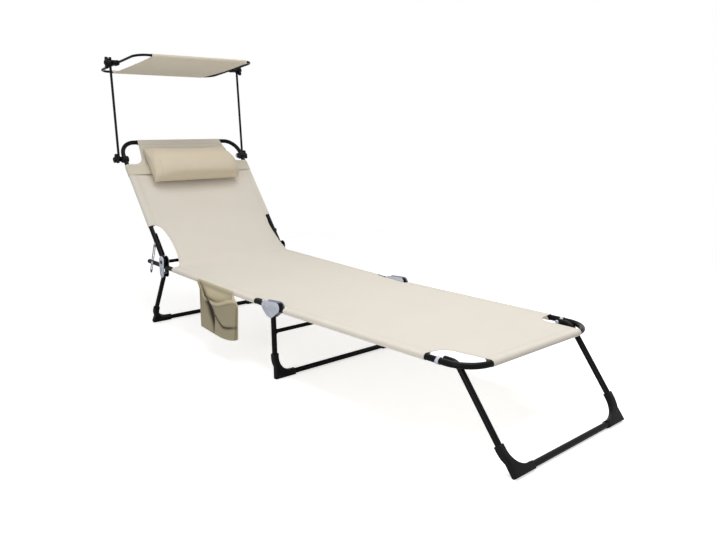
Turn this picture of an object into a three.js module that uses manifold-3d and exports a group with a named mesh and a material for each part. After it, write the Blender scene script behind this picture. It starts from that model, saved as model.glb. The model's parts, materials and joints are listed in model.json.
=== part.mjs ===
// A folding sun lounger with a canopy, in millimetres, +Z up.
// The sitter's feet point along +X, so the right hand is the -Y side.
import * as THREE from "three";
import { mergeVertices } from "three/addons/utils/BufferGeometryUtils.js";
import Module from "manifold-3d";

const wasm = await Module();
wasm.setup();

// Shared sizes
const railSpan = 520;
const tubeRadius = 8;
const fitGap = 0.3;
const clothThickness = 1.1;
const plateThickness = 1.5;
const plateClearance = 1.8;
const rivetRadius = 3;
const rivetHeadRadius = 5.5;
const rivetHeadHeight = 2.2;
const bendSag = 0.8;

// Seat section, measured from the point of the rail that lies over the rear legs
const seatHeight = 239.4;
const seatTilt = 1.53;
const stubLength = 128;
const seatClothStart = 14;
const seatSleeveStart = 57;
const seatSleeveMargin = 114;
const seatRailMargin = 38;
const seatSag = 9;

// Back hinge
const backPivotX = -14;
const backPivotLift = 17;
const backAngle = 52.5;
const axleRadius = 6;
const axlePinRadius = 4;
const axleHeadRadius = 7;
const rearPlateTopLift = 22;
const rearPlateTopRadius = 17;
const rearPlateFootRadius = 14;
const rearLegPivotDrop = 26;
const rearRivetHalfGap = 7;

// Middle hinge
const footPivotX = 676;
const footPivotLift = 9.6;
const footLugRadius = 9;
const midPlateReach = 54;
const midPlateRadius = 16.5;
const midPlateTopLift = 5;
const midPlateFootRadius = 13;
const midLegPivotReach = 26;
const midLegPivotDrop = 19;
const midRivetHalfGap = 9;

// Foot section, measured from its hinge
const footRise = 1.9;
const footLength = 712;
const footCornerRadius = 75;
const footRailStart = 6;
const footClothStart = 4.5;
const footSleeveStart = 32;
const footSleeveMargin = 133;
const footSag = 9;
const frontBarSleeveInset = 74;

// Backrest, measured from its hinge
const backLength = 520;
const backCornerRadius = 60;
const backClothStart = 22;
const backSleeveStart = 138;
const backSleeveMargin = 110;
const backSag = 10;
const topBarSleeveInset = 72;

// Cut-outs of the cloth
const hingeCutInset = 30;
const cornerCutInset = 65;
const plateCutInset = 16;
const hingeCutBend = 27;
const cornerCutBend = 42;
const plateCutBend = 14;
const cutDepth = 40;

// Recline straps, with their rivet and guide pin at one radius from the back hinge
const strapRadius = 75;
const strapReach = 112;
const strapHalfWidth = 7;
const strapThickness = 1.6;
const strapClearance = 0.6;
const slotHalfWidth = 3.3;
const slotStart = 14;
const slotEnd = 105;
const notchDepth = 1.9;
const notchCount = 5;
const backingStart = 30;
const backingEnd = 112;
const backingHalfWidth = 6.5;
const backingThickness = 2.4;

// Legs
const legBend = 60;
const rearLegTilt = 32;
const rearLegFootInset = 12.5;
const midLegTilt = -2;
const midBarDrop = 56;
const midBarRadius = 6;
const frontLegTilt = -37.5;
const frontLegMargin = 93;
const frontLegInset = 20;
const frontLegArm = 38;
const frontLegBend = 34;
const frontLegFootInset = 24;
const clipWidth = 9;
const clipThickness = 1.2;
const capHalf = 9.8;
const capReach = 70;
const capRun = 72;
const capHeelInset = 8;

// Canopy carried on two arms
const clampMargin = 76;
const clampRadius = 13;
const clampEarRadius = 9.5;
const clampHalfDepth = 11;
const armPivotReach = 11;
const armPivotDrop = 14.5;
const armLean = 4.5;
const armLength = 354;
const armRadius = 4.5;
const armEyeRadius = 8;
const armOffset = 16;
const canopyTilt = 8;
const canopyHalfLength = 165;
const canopyInset = 10;
const canopyCornerRadius = 55;
const bowRadius = 4.5;
const bowEnd = 3;
const coverMargin = 50;
const coverSag = 8;
const coverWaistShare = 0.06;
const jointHalfLength = 22;
const jointRadius = 11;
const jointInset = 7;
const studRadius = 2.7;
const lowerStudLength = 28;
const upperStudLength = 22;
const knobThickness = 10;
const knobHubRadius = 9;
const knobHubHeight = 16;
const lowerKnobReach = 21;
const upperKnobReach = 26;
const knobWaist = 8;
const knobBevel = 1.2;
const knobGap = 0.6;

// Pillow and its strap, measured from the top bar
const pillowMargin = 33;
const pillowLength = 160;
const pillowInset = 76;
const pillowHeight = 66;
const pillowDrawShare = 0.09;
const pillowSeamShare = 0.16;
const pillowBackShare = 0.22;
const bandMargin = 112;
const bandWidth = 40;
const bandThickness = 1.2;

// Side pocket, hung outside the right rail
const pocketStart = 252;
const pocketEnd = 488;
const pocketTop = 7;
const pocketDrop = 156;
const pocketTaper = 8;
const pocketMouthDepth = 13;
const pocketBaseDepth = 20;
const pocketClearance = 9.5;
const pocketHang = 3;
const pocketFlute = 1.2;
const pocketFluteCount = 3;

// Facets
const roundFacets = 6;
const smallFacets = 5;
const capFacets = 3;
const clothSteps = 10;
const pillowSteps = 8;

// Places that follow from the sizes
const halfSpan = railSpan / 2;
const seatRailEnd = footPivotX - seatRailMargin;
const seatSleeveEnd = footPivotX - seatSleeveMargin;
const midPlateRailX = footPivotX - midPlateReach;
const midLegPivotX = footPivotX - midLegPivotReach;
const footSleeveEnd = footLength - footSleeveMargin;
const frontBarSleeveHalf = halfSpan - frontBarSleeveInset;
const frontLegX = footLength - frontLegMargin;
const backSleeveEnd = backLength - backSleeveMargin;
const topBarSleeveHalf = halfSpan - topBarSleeveInset;
const hingeCutHalf = halfSpan - hingeCutInset;
const cornerCutHalf = halfSpan - cornerCutInset;
const plateCutHalf = halfSpan - plateCutInset;
const clampX = backLength - clampMargin;
const armPivotX = clampX + armPivotReach;
const canopyHalfWidth = halfSpan - canopyInset;
const coverHalfWidth = canopyHalfWidth - coverMargin;
const jointInner = canopyHalfWidth - jointInset;
const pillowEnd = backLength - pillowMargin;
const pillowStart = pillowEnd - pillowLength;
const pillowHalfWidth = halfSpan - pillowInset;
const bandEnd = backLength - bandMargin;
const bandStart = bandEnd - bandWidth;
const rearRivetPlaces = [backPivotX - rearRivetHalfGap, backPivotX + rearRivetHalfGap];
const midRivetPlaces = [midPlateRailX - midRivetHalfGap, midPlateRailX + midRivetHalfGap];
const railRivetPlaces = [...rearRivetPlaces, ...midRivetPlaces];
const sleeveInner = tubeRadius + fitGap;
const sleeveOuter = sleeveInner + clothThickness;
const plateInner = tubeRadius + plateClearance;
const boreGap = rivetRadius + fitGap;
const hands = { left: 1, right: -1 };
const turnAxis = new THREE.Vector3(0, 1, 0);
const radians = THREE.MathUtils.degToRad;

const finishes = {
  paint: { color: 0x161617, roughness: 0.42, metalness: 0.25 },
  zinc: { color: 0xa9adb6, roughness: 0.38, metalness: 0.85 },
  plastic: { color: 0x1b1b1c, roughness: 0.55, metalness: 0 },
  cloth: { color: 0xe6dfd2, roughness: 0.9, metalness: 0 },
  shade: { color: 0xc9bfa6, roughness: 0.92, metalness: 0 },
};

function addPiece(parent, name, geometry, finish) {
  const piece = new THREE.Mesh(geometry, new THREE.MeshStandardMaterial(finishes[finish]));
  piece.name = name;
  parent.add(piece);
  return piece;
}

function solidOf(geometry) {
  const bare = geometry.clone();
  bare.deleteAttribute("normal");
  bare.deleteAttribute("uv");
  const merged = mergeVertices(bare);
  const index = merged.index.array;
  const mesh = new wasm.Mesh({
    numProp: 3,
    vertProperties: new Float32Array(merged.attributes.position.array),
    triVerts: new Uint32Array(index),
  });
  return new wasm.Manifold(mesh);
}

function geometryOf(solid) {
  const mesh = solid.getMesh();
  const geometry = new THREE.BufferGeometry();
  geometry.setAttribute("position", new THREE.BufferAttribute(mesh.vertProperties, 3));
  geometry.setIndex(new THREE.BufferAttribute(mesh.triVerts, 1));
  geometry.computeVertexNormals();
  return geometry;
}

function join(first, ...others) {
  return geometryOf(others.reduce((whole, other) => whole.add(solidOf(other)), solidOf(first)));
}

function cut(body, ...tools) {
  return geometryOf(tools.reduce((rest, tool) => rest.subtract(solidOf(tool)), solidOf(body)));
}

function point(x, y, z) {
  return new THREE.Vector3(x, y, z);
}

// A path through given stations, with one ring of the section at each of them
class StationPath extends THREE.Curve {
  constructor(stations) {
    super();
    this.stations = stations;
  }

  getPointAt(share, target = new THREE.Vector3()) {
    return target.copy(this.stations[Math.round(share * (this.stations.length - 1))]);
  }

  getTangentAt(share, target = new THREE.Vector3()) {
    const last = this.stations.length - 1;
    const at = Math.round(share * last);
    const before = this.stations[Math.max(at - 1, 0)];
    const after = this.stations[Math.min(at + 1, last)];
    return target.subVectors(after, before).normalize();
  }
}

// The stations of a bent tube: its corners, each rounded to its own bend radius
function bentStations(corners, bends) {
  const stations = [corners[0]];
  for (let i = 1; i < corners.length - 1; i += 1) {
    const bendRadius = bends[i - 1];
    const back = corners[i - 1].clone().sub(corners[i]).normalize();
    const ahead = corners[i + 1].clone().sub(corners[i]).normalize();
    const half = back.angleTo(ahead) / 2;
    const start = back.clone().multiplyScalar(bendRadius / Math.tan(half));
    const centre = back.clone().add(ahead).normalize().multiplyScalar(bendRadius / Math.sin(half));
    const arm = start.clone().sub(centre);
    const axis = back.clone().cross(ahead).normalize().negate();
    const turn = Math.PI - 2 * half;
    const steps = Math.ceil(turn / (2 * Math.acos(1 - bendSag / bendRadius)));
    for (let step = 0; step <= steps; step += 1) {
      const turned = arm.clone().applyAxisAngle(axis, (turn * step) / steps);
      stations.push(turned.add(centre).add(corners[i]));
    }
  }
  stations.push(corners[corners.length - 1]);
  return stations;
}

function bar(stations, radius, facets = roundFacets) {
  const section = new THREE.Shape();
  section.absarc(0, 0, radius, 0, 2 * Math.PI);
  return new THREE.ExtrudeGeometry(section, {
    steps: stations.length - 1,
    bevelEnabled: false,
    curveSegments: facets,
    extrudePath: new StationPath(stations),
  });
}

// A round pin across the lounger, from one y to another
function crossPin(radius, x, z, yFrom, yTo, facets = 2 * roundFacets) {
  const pin = new THREE.CylinderGeometry(radius, radius, Math.abs(yTo - yFrom), facets);
  return pin.translate(x, (yFrom + yTo) / 2, z);
}

// A turned piece across the lounger, from pairs of radius and y
function turned(profile, x, z, facets = 2 * smallFacets) {
  const points = profile.map(([radius, y]) => new THREE.Vector2(radius, y));
  return new THREE.LatheGeometry(points, facets).translate(x, 0, z);
}

// The outline around discs given counterclockwise as x, z and radius
function hullOutline(discs) {
  const leave = discs.map(([x, z, radius], i) => {
    const [nextX, nextZ, nextRadius] = discs[(i + 1) % discs.length];
    const reach = Math.hypot(nextX - x, nextZ - z);
    return Math.atan2(nextZ - z, nextX - x) - Math.acos((radius - nextRadius) / reach);
  });
  const outline = new THREE.Shape();
  discs.forEach(([x, z, radius], i) => {
    const enter = leave[(i + discs.length - 1) % discs.length];
    outline.absarc(x, z, radius, enter, leave[i], false);
  });
  return outline;
}

function roundHole(x, z, radius) {
  const hole = new THREE.Path();
  hole.absarc(x, z, radius, 0, 2 * Math.PI);
  return hole;
}

// An outline in x and z given thickness across the lounger
function slab(outline, yFrom, yTo, bevel = 0) {
  const low = Math.min(yFrom, yTo);
  const high = Math.max(yFrom, yTo);
  const geometry = new THREE.ExtrudeGeometry(outline, {
    depth: high - low - 2 * bevel,
    bevelEnabled: bevel > 0,
    bevelThickness: bevel,
    bevelSize: bevel,
    bevelOffset: -bevel,
    bevelSegments: 1,
    curveSegments: smallFacets,
  });
  return geometry.rotateX(Math.PI / 2).translate(0, high - bevel, 0);
}

// An outline in y and z given length along the lounger
function alongX(outline, xFrom, xTo) {
  const geometry = new THREE.ExtrudeGeometry(outline, {
    depth: xTo - xFrom,
    bevelEnabled: false,
    curveSegments: smallFacets,
  });
  const basis = new THREE.Matrix4().makeBasis(point(0, 1, 0), point(0, 0, 1), point(1, 0, 0));
  return geometry.applyMatrix4(basis).translate(xFrom, 0, 0);
}

// A rivet between two y values, heads included
function rivet(x, z, yFrom, yTo) {
  const low = Math.min(yFrom, yTo);
  const high = Math.max(yFrom, yTo);
  return turned([
    [0, low],
    [rivetHeadRadius, low],
    [rivetHeadRadius, low + rivetHeadHeight - fitGap],
    [rivetRadius, low + rivetHeadHeight - fitGap],
    [rivetRadius, high - rivetHeadHeight + fitGap],
    [rivetHeadRadius, high - rivetHeadHeight + fitGap],
    [rivetHeadRadius, high],
    [0, high],
  ], x, z);
}

// A rivet of a hinge, through both plates
function hingeRivet(x, z, side) {
  const grip = plateInner + plateThickness + rivetHeadHeight;
  return rivet(x, z, side * halfSpan - grip, side * halfSpan + grip);
}

// Cloth between two x values with its top face at the sleeves' top, sagging across its width
function clothSheet(xFrom, xTo, halfWidth, topLift, sagAt) {
  const sheet = new THREE.BoxGeometry(
    xTo - xFrom, 2 * halfWidth, clothThickness, clothSteps, clothSteps, 1,
  );
  sheet.translate((xFrom + xTo) / 2, 0, topLift - clothThickness / 2);
  const places = sheet.attributes.position;
  for (let i = 0; i < places.count; i += 1) {
    const across = places.getY(i) / halfWidth;
    places.setZ(i, places.getZ(i) - sagAt(places.getX(i)) * (1 - across * across));
  }
  return sheet;
}

// A straight sleeve along x, round a rail at the given y and z
function sleeve(xFrom, xTo, y, z, radius) {
  return bar([point(xFrom, y, z), point(xTo, y, z)], radius);
}

// The window cut from a cloth's edge: everything outside yIn between two x values,
// with a round inner corner at xCorner
function edgeWindow(xOpen, xCorner, yIn, bend, side, level) {
  const outer = side * (halfSpan + cutDepth);
  const inner = side * yIn;
  const along = Math.sign(xOpen - xCorner);
  const outline = new THREE.Shape();
  outline.moveTo(xOpen, outer);
  outline.lineTo(xCorner, outer);
  outline.lineTo(xCorner, inner + side * bend);
  outline.quadraticCurveTo(xCorner, inner, xCorner + along * bend, inner);
  outline.lineTo(xOpen, inner);
  const window = new THREE.ExtrudeGeometry(outline, {
    depth: 2 * cutDepth,
    bevelEnabled: false,
    curveSegments: smallFacets,
  });
  return window.translate(0, 0, level - cutDepth);
}

// How far a sag has grown at a distance from a bar that holds the cloth straight
function sagFrom(distance, length) {
  const share = THREE.MathUtils.clamp(distance / (length / 3), 0, 1);
  return Math.sin((share * Math.PI) / 2);
}

// A section group hinged on its parent: place in x and z, and turn about y in degrees
function hinged(parent, x, z, turn) {
  const group = new THREE.Group();
  group.position.set(x, 0, z);
  group.rotation.y = radians(turn);
  parent.add(group);
  return group;
}

// Height over the floor of a place in the seat's frame
function heightOver(x, z) {
  return seatHeight + z * Math.cos(radians(seatTilt)) - x * Math.sin(radians(seatTilt));
}

function buildSeat(lounger) {
  const seat = hinged(lounger, 0, seatHeight, seatTilt);
  for (const [hand, side] of Object.entries(hands)) {
    const y = side * halfSpan;
    const tube = bar([point(-stubLength, y, 0), point(seatRailEnd, y, 0)], tubeRadius);
    const pinHole = crossPin(boreGap, guideX(), 0, y - 2 * tubeRadius, y + 2 * tubeRadius);
    const rivets = railRivetPlaces.map((x) => hingeRivet(x, 0, side));
    addPiece(seat, `seat_rail_${hand}`, join(cut(tube, pinHole), ...rivets), "paint");
    const strapOuter = tubeRadius + strapClearance + strapThickness;
    const pin = rivet(
      guideX(), 0,
      side * (halfSpan - tubeRadius - rivetHeadHeight),
      side * (halfSpan + strapOuter + rivetHeadHeight),
    );
    addPiece(seat, `strap_guide_pin_${hand}`, pin, "zinc");
  }
  buildRearHinge(seat);
  buildMiddleHinge(seat);
  buildSeatCloth(seat);
  buildPocket(seat);
  return seat;
}

// Where the guide pin stands on the rail: as far from the back hinge as the strap's rivet
function guideX() {
  return backPivotX - Math.sqrt(strapRadius ** 2 - backPivotLift ** 2);
}

function plateSpan(side, isOuter) {
  const near = isOuter ? plateInner : -plateInner - plateThickness;
  return [side * halfSpan + side * near, side * halfSpan + side * (near + plateThickness)];
}

function buildRearHinge(seat) {
  const bottom = [backPivotX, -rearLegPivotDrop, rearPlateFootRadius];
  const top = [backPivotX, rearPlateTopLift, rearPlateTopRadius];
  for (const [hand, side] of Object.entries(hands)) {
    for (const face of ["outer", "inner"]) {
      const outline = hullOutline([bottom, top]);
      outline.holes.push(roundHole(backPivotX, backPivotLift, axlePinRadius + fitGap));
      outline.holes.push(roundHole(backPivotX, -rearLegPivotDrop, boreGap));
      outline.holes.push(...rearRivetPlaces.map((x) => roundHole(x, 0, boreGap)));
      const span = plateSpan(side, face === "outer");
      addPiece(seat, `rear_hinge_plate_${face}_${hand}`, slab(outline, ...span), "zinc");
    }
    const pivot = hingeRivet(backPivotX, -rearLegPivotDrop, side);
    addPiece(seat, `rear_leg_rivet_${hand}`, pivot, "zinc");
  }
  const shoulder = halfSpan - plateInner - plateThickness - fitGap;
  const tip = halfSpan + plateInner + plateThickness + fitGap;
  const axle = turned([
    [0, -tip - rivetHeadHeight],
    [axleHeadRadius, -tip - rivetHeadHeight],
    [axleHeadRadius, -tip],
    [axlePinRadius, -tip],
    [axlePinRadius, -shoulder],
    [axleRadius, -shoulder],
    [axleRadius, shoulder],
    [axlePinRadius, shoulder],
    [axlePinRadius, tip],
    [axleHeadRadius, tip],
    [axleHeadRadius, tip + rivetHeadHeight],
    [0, tip + rivetHeadHeight],
  ], backPivotX, backPivotLift, 2 * roundFacets);
  addPiece(seat, "back_hinge_axle", axle, "paint");
}

function buildMiddleHinge(seat) {
  const discs = [
    [midPlateRailX, 0, midPlateRadius],
    [midLegPivotX, -midLegPivotDrop + fitGap, midPlateFootRadius],
    [footPivotX, midPlateTopLift, midPlateRadius],
  ];
  for (const [hand, side] of Object.entries(hands)) {
    for (const face of ["outer", "inner"]) {
      const outline = hullOutline(discs);
      outline.holes.push(roundHole(footPivotX, footPivotLift, boreGap));
      outline.holes.push(roundHole(midLegPivotX, -midLegPivotDrop, boreGap));
      outline.holes.push(...midRivetPlaces.map((x) => roundHole(x, 0, boreGap)));
      const span = plateSpan(side, face === "outer");
      addPiece(seat, `middle_hinge_plate_${face}_${hand}`, slab(outline, ...span), "zinc");
    }
    const footPivot = hingeRivet(footPivotX, footPivotLift, side);
    addPiece(seat, `foot_hinge_rivet_${hand}`, footPivot, "zinc");
    const legPivot = hingeRivet(midLegPivotX, -midLegPivotDrop, side);
    addPiece(seat, `middle_leg_rivet_${hand}`, legPivot, "zinc");
  }
}

function buildSeatCloth(seat) {
  const sheetEnd = footPivotX - footClothStart;
  const parts = [clothSheet(seatClothStart, sheetEnd, halfSpan, sleeveOuter, () => seatSag)];
  const tools = [];
  for (const side of Object.values(hands)) {
    const y = side * halfSpan;
    parts.push(sleeve(seatSleeveStart, seatSleeveEnd, y, 0, sleeveOuter));
    tools.push(sleeve(-stubLength, footPivotX, y, 0, sleeveInner));
    tools.push(edgeWindow(-stubLength, seatSleeveStart, hingeCutHalf, hingeCutBend, side, 0));
    tools.push(edgeWindow(footPivotX, seatSleeveEnd, plateCutHalf, plateCutBend, side, 0));
  }
  addPiece(seat, "seat_cloth", cut(join(...parts), ...tools), "cloth");
}

// The pocket's body: a bag that tapers down and hangs in shallow flutes
function pocketBody(inset, top) {
  const body = new THREE.BoxGeometry(1, 1, 1, clothSteps, 1, smallFacets);
  const places = body.attributes.position;
  for (let i = 0; i < places.count; i += 1) {
    const along = places.getX(i);
    const z = top - (top + pocketDrop - inset) * (1 / 2 - places.getZ(i));
    const down = Math.max(-z / pocketDrop, 0);
    const half = (pocketEnd - pocketStart) / 2 - inset - pocketTaper * down;
    const flute = pocketFlute * Math.cos(2 * Math.PI * pocketFluteCount * along) * down;
    const deep = pocketMouthDepth + (pocketBaseDepth - pocketMouthDepth) * down + flute;
    const away = pocketHang * Math.sqrt(down);
    const y = places.getY(i) < 0 ? inset - deep : -inset - away;
    places.setXYZ(i, (pocketStart + pocketEnd) / 2 + 2 * half * along, y, z);
  }
  return body.translate(0, -halfSpan - pocketClearance, 0);
}

function buildPocket(seat) {
  const inside = pocketBody(clothThickness, pocketTop + cutDepth);
  addPiece(seat, "side_pocket", cut(pocketBody(0, pocketTop), inside), "shade");
}

// The whole path of a U-shaped leg, from the corners of its left half
function legPath(leftHalf, bends) {
  const rightHalf = leftHalf.map(({ x, y, z }) => point(x, -y, z)).reverse();
  return bentStations([...leftHalf, ...rightHalf], [...bends, ...bends.toReversed()]);
}

// A foot cap that follows a leg's lower bend, with a pointed heel that stands on the floor
function footCap(leg, side) {
  const [above, corner] = leg.leftHalf.slice(-2);
  const foot = new THREE.Vector2(corner.y, corner.z);
  const up = new THREE.Vector2(above.y - corner.y, above.z - corner.z).normalize();
  const out = new THREE.Vector2(up.y, -up.x);
  const inward = new THREE.Vector2(-1, 0);
  const bisector = up.clone().add(inward).normalize();
  const centre = foot.clone().addScaledVector(bisector, legBend / Math.sin(up.angleTo(bisector)));
  const top = foot.clone().addScaledVector(up, capReach);
  const heel = foot.x + capHalf - capHeelInset;
  const heelAngle = -Math.acos((heel - centre.x) / (legBend + capHalf));
  const profile = new THREE.Path();
  profile.moveTo(top.x - capHalf * out.x, top.y - capHalf * out.y);
  profile.lineTo(top.x + capHalf * out.x, top.y + capHalf * out.y);
  profile.absarc(centre.x, centre.y, legBend + capHalf, out.angle(), heelAngle, true);
  profile.lineTo(heel, foot.y - capHalf);
  profile.lineTo(foot.x - capRun, foot.y - capHalf);
  profile.lineTo(foot.x - capRun, foot.y + capHalf);
  profile.absarc(centre.x, centre.y, legBend - capHalf, -Math.PI / 2, out.angle(), false);
  const places = profile.getPoints(capFacets);
  const outline = new THREE.Shape(places.map(({ x, y }) => new THREE.Vector2(side * x, y)));
  const block = alongX(outline, corner.x - capHalf, corner.x + capHalf);
  const floorSize = 2 * railSpan;
  const floor = new THREE.BoxGeometry(floorSize, floorSize, floorSize);
  floor.translate(0, 0, -leg.height - floorSize / 2).rotateY(-radians(leg.tilt));
  return cut(block, bar(leg.path, tubeRadius + fitGap), floor);
}

// A leg's bent tube with a bored round end on each pivot, and its two foot caps
function addLeg(group, leg) {
  const ends = [];
  const bores = [];
  for (const side of Object.values(hands)) {
    const y = side * leg.leftHalf[0].y;
    ends.push(crossPin(tubeRadius, 0, 0, y - tubeRadius, y + tubeRadius));
    bores.push(crossPin(boreGap, 0, 0, y - 2 * tubeRadius, y + 2 * tubeRadius));
  }
  const tube = cut(join(bar(leg.path, tubeRadius), ...ends), ...bores);
  addPiece(group, `${leg.name}_tube`, tube, "paint");
  for (const [hand, side] of Object.entries(hands)) {
    addPiece(group, `${leg.name}_foot_${hand}`, footCap(leg, side), "plastic");
  }
}

function buildRearLeg(seat) {
  const group = hinged(seat, backPivotX, -rearLegPivotDrop, rearLegTilt - seatTilt);
  const height = heightOver(backPivotX, -rearLegPivotDrop);
  const reach = (height - capHalf) / Math.cos(radians(rearLegTilt));
  const leftHalf = [point(0, halfSpan, 0), point(0, halfSpan - rearLegFootInset, -reach)];
  const path = legPath(leftHalf, [legBend]);
  addLeg(group, { name: "rear_leg", leftHalf, path, tilt: rearLegTilt, height });
}

function buildMiddleLeg(seat) {
  const group = hinged(seat, midLegPivotX, -midLegPivotDrop, midLegTilt - seatTilt);
  const height = heightOver(midLegPivotX, -midLegPivotDrop);
  const reach = (height - capHalf) / Math.cos(radians(midLegTilt));
  const leftHalf = [point(0, halfSpan, 0), point(0, halfSpan, -reach)];
  const path = legPath(leftHalf, [legBend]);
  addLeg(group, { name: "middle_leg", leftHalf, path, tilt: midLegTilt, height });
  const half = halfSpan - tubeRadius - fitGap;
  const brace = bar([point(0, half, -midBarDrop), point(0, -half, -midBarDrop)], midBarRadius);
  addPiece(group, "middle_leg_crossbar", brace, "paint");
}

function buildFoot(seat) {
  const foot = hinged(seat, footPivotX, footPivotLift, -footRise);
  const level = -footPivotLift;
  const path = bentStations([
    point(-footRailStart, halfSpan, level),
    point(footLength, halfSpan, level),
    point(footLength, -halfSpan, level),
    point(-footRailStart, -halfSpan, level),
  ], [footCornerRadius, footCornerRadius]);
  const lugs = [];
  const bores = [];
  for (const side of Object.values(hands)) {
    const y = side * halfSpan;
    lugs.push(crossPin(footLugRadius, 0, 0, y - tubeRadius, y + tubeRadius));
    bores.push(crossPin(boreGap, 0, 0, y - 2 * tubeRadius, y + 2 * tubeRadius));
    bores.push(crossPin(boreGap, frontLegX, level, y - 2 * tubeRadius, y + 2 * tubeRadius));
  }
  const frame = cut(join(bar(path, tubeRadius), ...lugs), ...bores);
  addPiece(foot, "foot_frame", frame, "paint");
  buildFootCloth(foot, path, level);
  buildFrontLeg(foot, level);
}

function buildFootCloth(foot, path, level) {
  const sagAt = (x) => footSag * sagFrom(footLength - x, footLength);
  const parts = [
    clothSheet(footClothStart, footLength, halfSpan, level + sleeveOuter, sagAt),
    bar([point(footLength, -frontBarSleeveHalf, level),
      point(footLength, frontBarSleeveHalf, level)], sleeveOuter),
  ];
  const tools = [bar(path, sleeveInner)];
  for (const side of Object.values(hands)) {
    parts.push(sleeve(footSleeveStart, footSleeveEnd, side * halfSpan, level, sleeveOuter));
    tools.push(edgeWindow(0, footSleeveStart, plateCutHalf, plateCutBend, side, level));
    const beyond = footLength + cutDepth;
    tools.push(edgeWindow(beyond, footSleeveEnd, cornerCutHalf, cornerCutBend, side, level));
  }
  addPiece(foot, "foot_cloth", cut(join(...parts), ...tools), "cloth");
}

function buildFrontLeg(foot, level) {
  const footTurn = seatTilt - footRise;
  const group = hinged(foot, frontLegX, level, frontLegTilt - footTurn);
  const footInSeat = point(frontLegX, 0, level).applyAxisAngle(turnAxis, -radians(footRise));
  const height = heightOver(footPivotX + footInSeat.x, footPivotLift + footInSeat.z);
  const reach = (height - capHalf) / Math.cos(radians(frontLegTilt));
  const armX = frontLegArm * Math.cos(radians(frontLegTilt));
  const armZ = frontLegArm * Math.sin(radians(frontLegTilt));
  const half = halfSpan - frontLegInset;
  const leftHalf = [
    point(0, half, 0),
    point(armX, half, armZ),
    point(armX, halfSpan - frontLegFootInset, armZ - reach),
  ];
  const path = legPath(leftHalf, [frontLegBend, legBend]);
  addLeg(group, { name: "front_leg", leftHalf, path, tilt: frontLegTilt, height });
  for (const [hand, side] of Object.entries(hands)) {
    const clipOuter = sleeveInner + clipThickness;
    const pivot = rivet(
      frontLegX, level,
      side * (half - tubeRadius - rivetHeadHeight),
      side * (halfSpan + clipOuter + rivetHeadHeight),
    );
    addPiece(foot, `front_leg_rivet_${hand}`, pivot, "zinc");
    const [from, to] = [frontLegX - clipWidth / 2, frontLegX + clipWidth / 2];
    const clip = sleeve(from, to, side * halfSpan, level, clipOuter);
    const hollow = sleeve(from - clipWidth, to + clipWidth, side * halfSpan, level, sleeveInner);
    const bore = crossPin(boreGap, frontLegX, level, 0, side * railSpan);
    addPiece(foot, `front_leg_clip_${hand}`, cut(clip, hollow, bore), "zinc");
  }
}

function buildBack(seat) {
  const back = hinged(seat, backPivotX, backPivotLift, backAngle - seatTilt);
  const path = bentStations([
    point(0, halfSpan, 0),
    point(-backLength, halfSpan, 0),
    point(-backLength, -halfSpan, 0),
    point(0, -halfSpan, 0),
  ], [backCornerRadius, backCornerRadius]);
  const ends = [];
  const bores = [];
  for (const side of Object.values(hands)) {
    const y = side * halfSpan;
    const [from, to] = [y - 2 * tubeRadius, y + 2 * tubeRadius];
    ends.push(crossPin(tubeRadius, 0, 0, y - tubeRadius, y + tubeRadius));
    bores.push(crossPin(axlePinRadius + fitGap, 0, 0, from, to));
    bores.push(crossPin(boreGap, -strapRadius, 0, from, to));
  }
  const frame = cut(join(bar(path, tubeRadius), ...ends), ...bores);
  addPiece(back, "back_frame", frame, "paint");
  buildBackCloth(back, path);
  buildStraps(back);
  buildPillow(back);
  buildCanopyArms(back);
}

function buildBackCloth(back, path) {
  const sagAt = (x) => backSag * sagFrom(backLength + x, backLength);
  const parts = [
    clothSheet(-backLength, -backClothStart, halfSpan, sleeveOuter, sagAt),
    bar([point(-backLength, -topBarSleeveHalf, 0),
      point(-backLength, topBarSleeveHalf, 0)], sleeveOuter),
  ];
  const tools = [bar(path, sleeveInner)];
  for (const side of Object.values(hands)) {
    parts.push(sleeve(-backSleeveEnd, -backSleeveStart, side * halfSpan, 0, sleeveOuter));
    tools.push(edgeWindow(0, -backSleeveStart, hingeCutHalf, hingeCutBend, side, 0));
    const beyond = -backLength - cutDepth;
    tools.push(edgeWindow(beyond, -backSleeveEnd, cornerCutHalf, cornerCutBend, side, 0));
  }
  addPiece(back, "back_cloth", cut(join(...parts), ...tools), "cloth");
}

// The notched slot that the guide pin runs in, along x from the strap's rivet
function strapSlot() {
  const slot = new THREE.Path();
  const pitch = (slotEnd - slotStart) / (notchCount + 1);
  slot.moveTo(slotStart, -slotHalfWidth);
  slot.lineTo(slotEnd, -slotHalfWidth);
  slot.absarc(slotEnd, 0, slotHalfWidth, -Math.PI / 2, Math.PI / 2, false);
  for (let notch = notchCount; notch > 0; notch -= 1) {
    const middle = slotStart + notch * pitch;
    slot.lineTo(middle + slotHalfWidth, slotHalfWidth);
    slot.quadraticCurveTo(middle, slotHalfWidth + 2 * notchDepth, middle - slotHalfWidth, slotHalfWidth);
  }
  slot.lineTo(slotStart, slotHalfWidth);
  slot.absarc(slotStart, 0, slotHalfWidth, Math.PI / 2, (3 * Math.PI) / 2, false);
  return slot;
}

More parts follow.
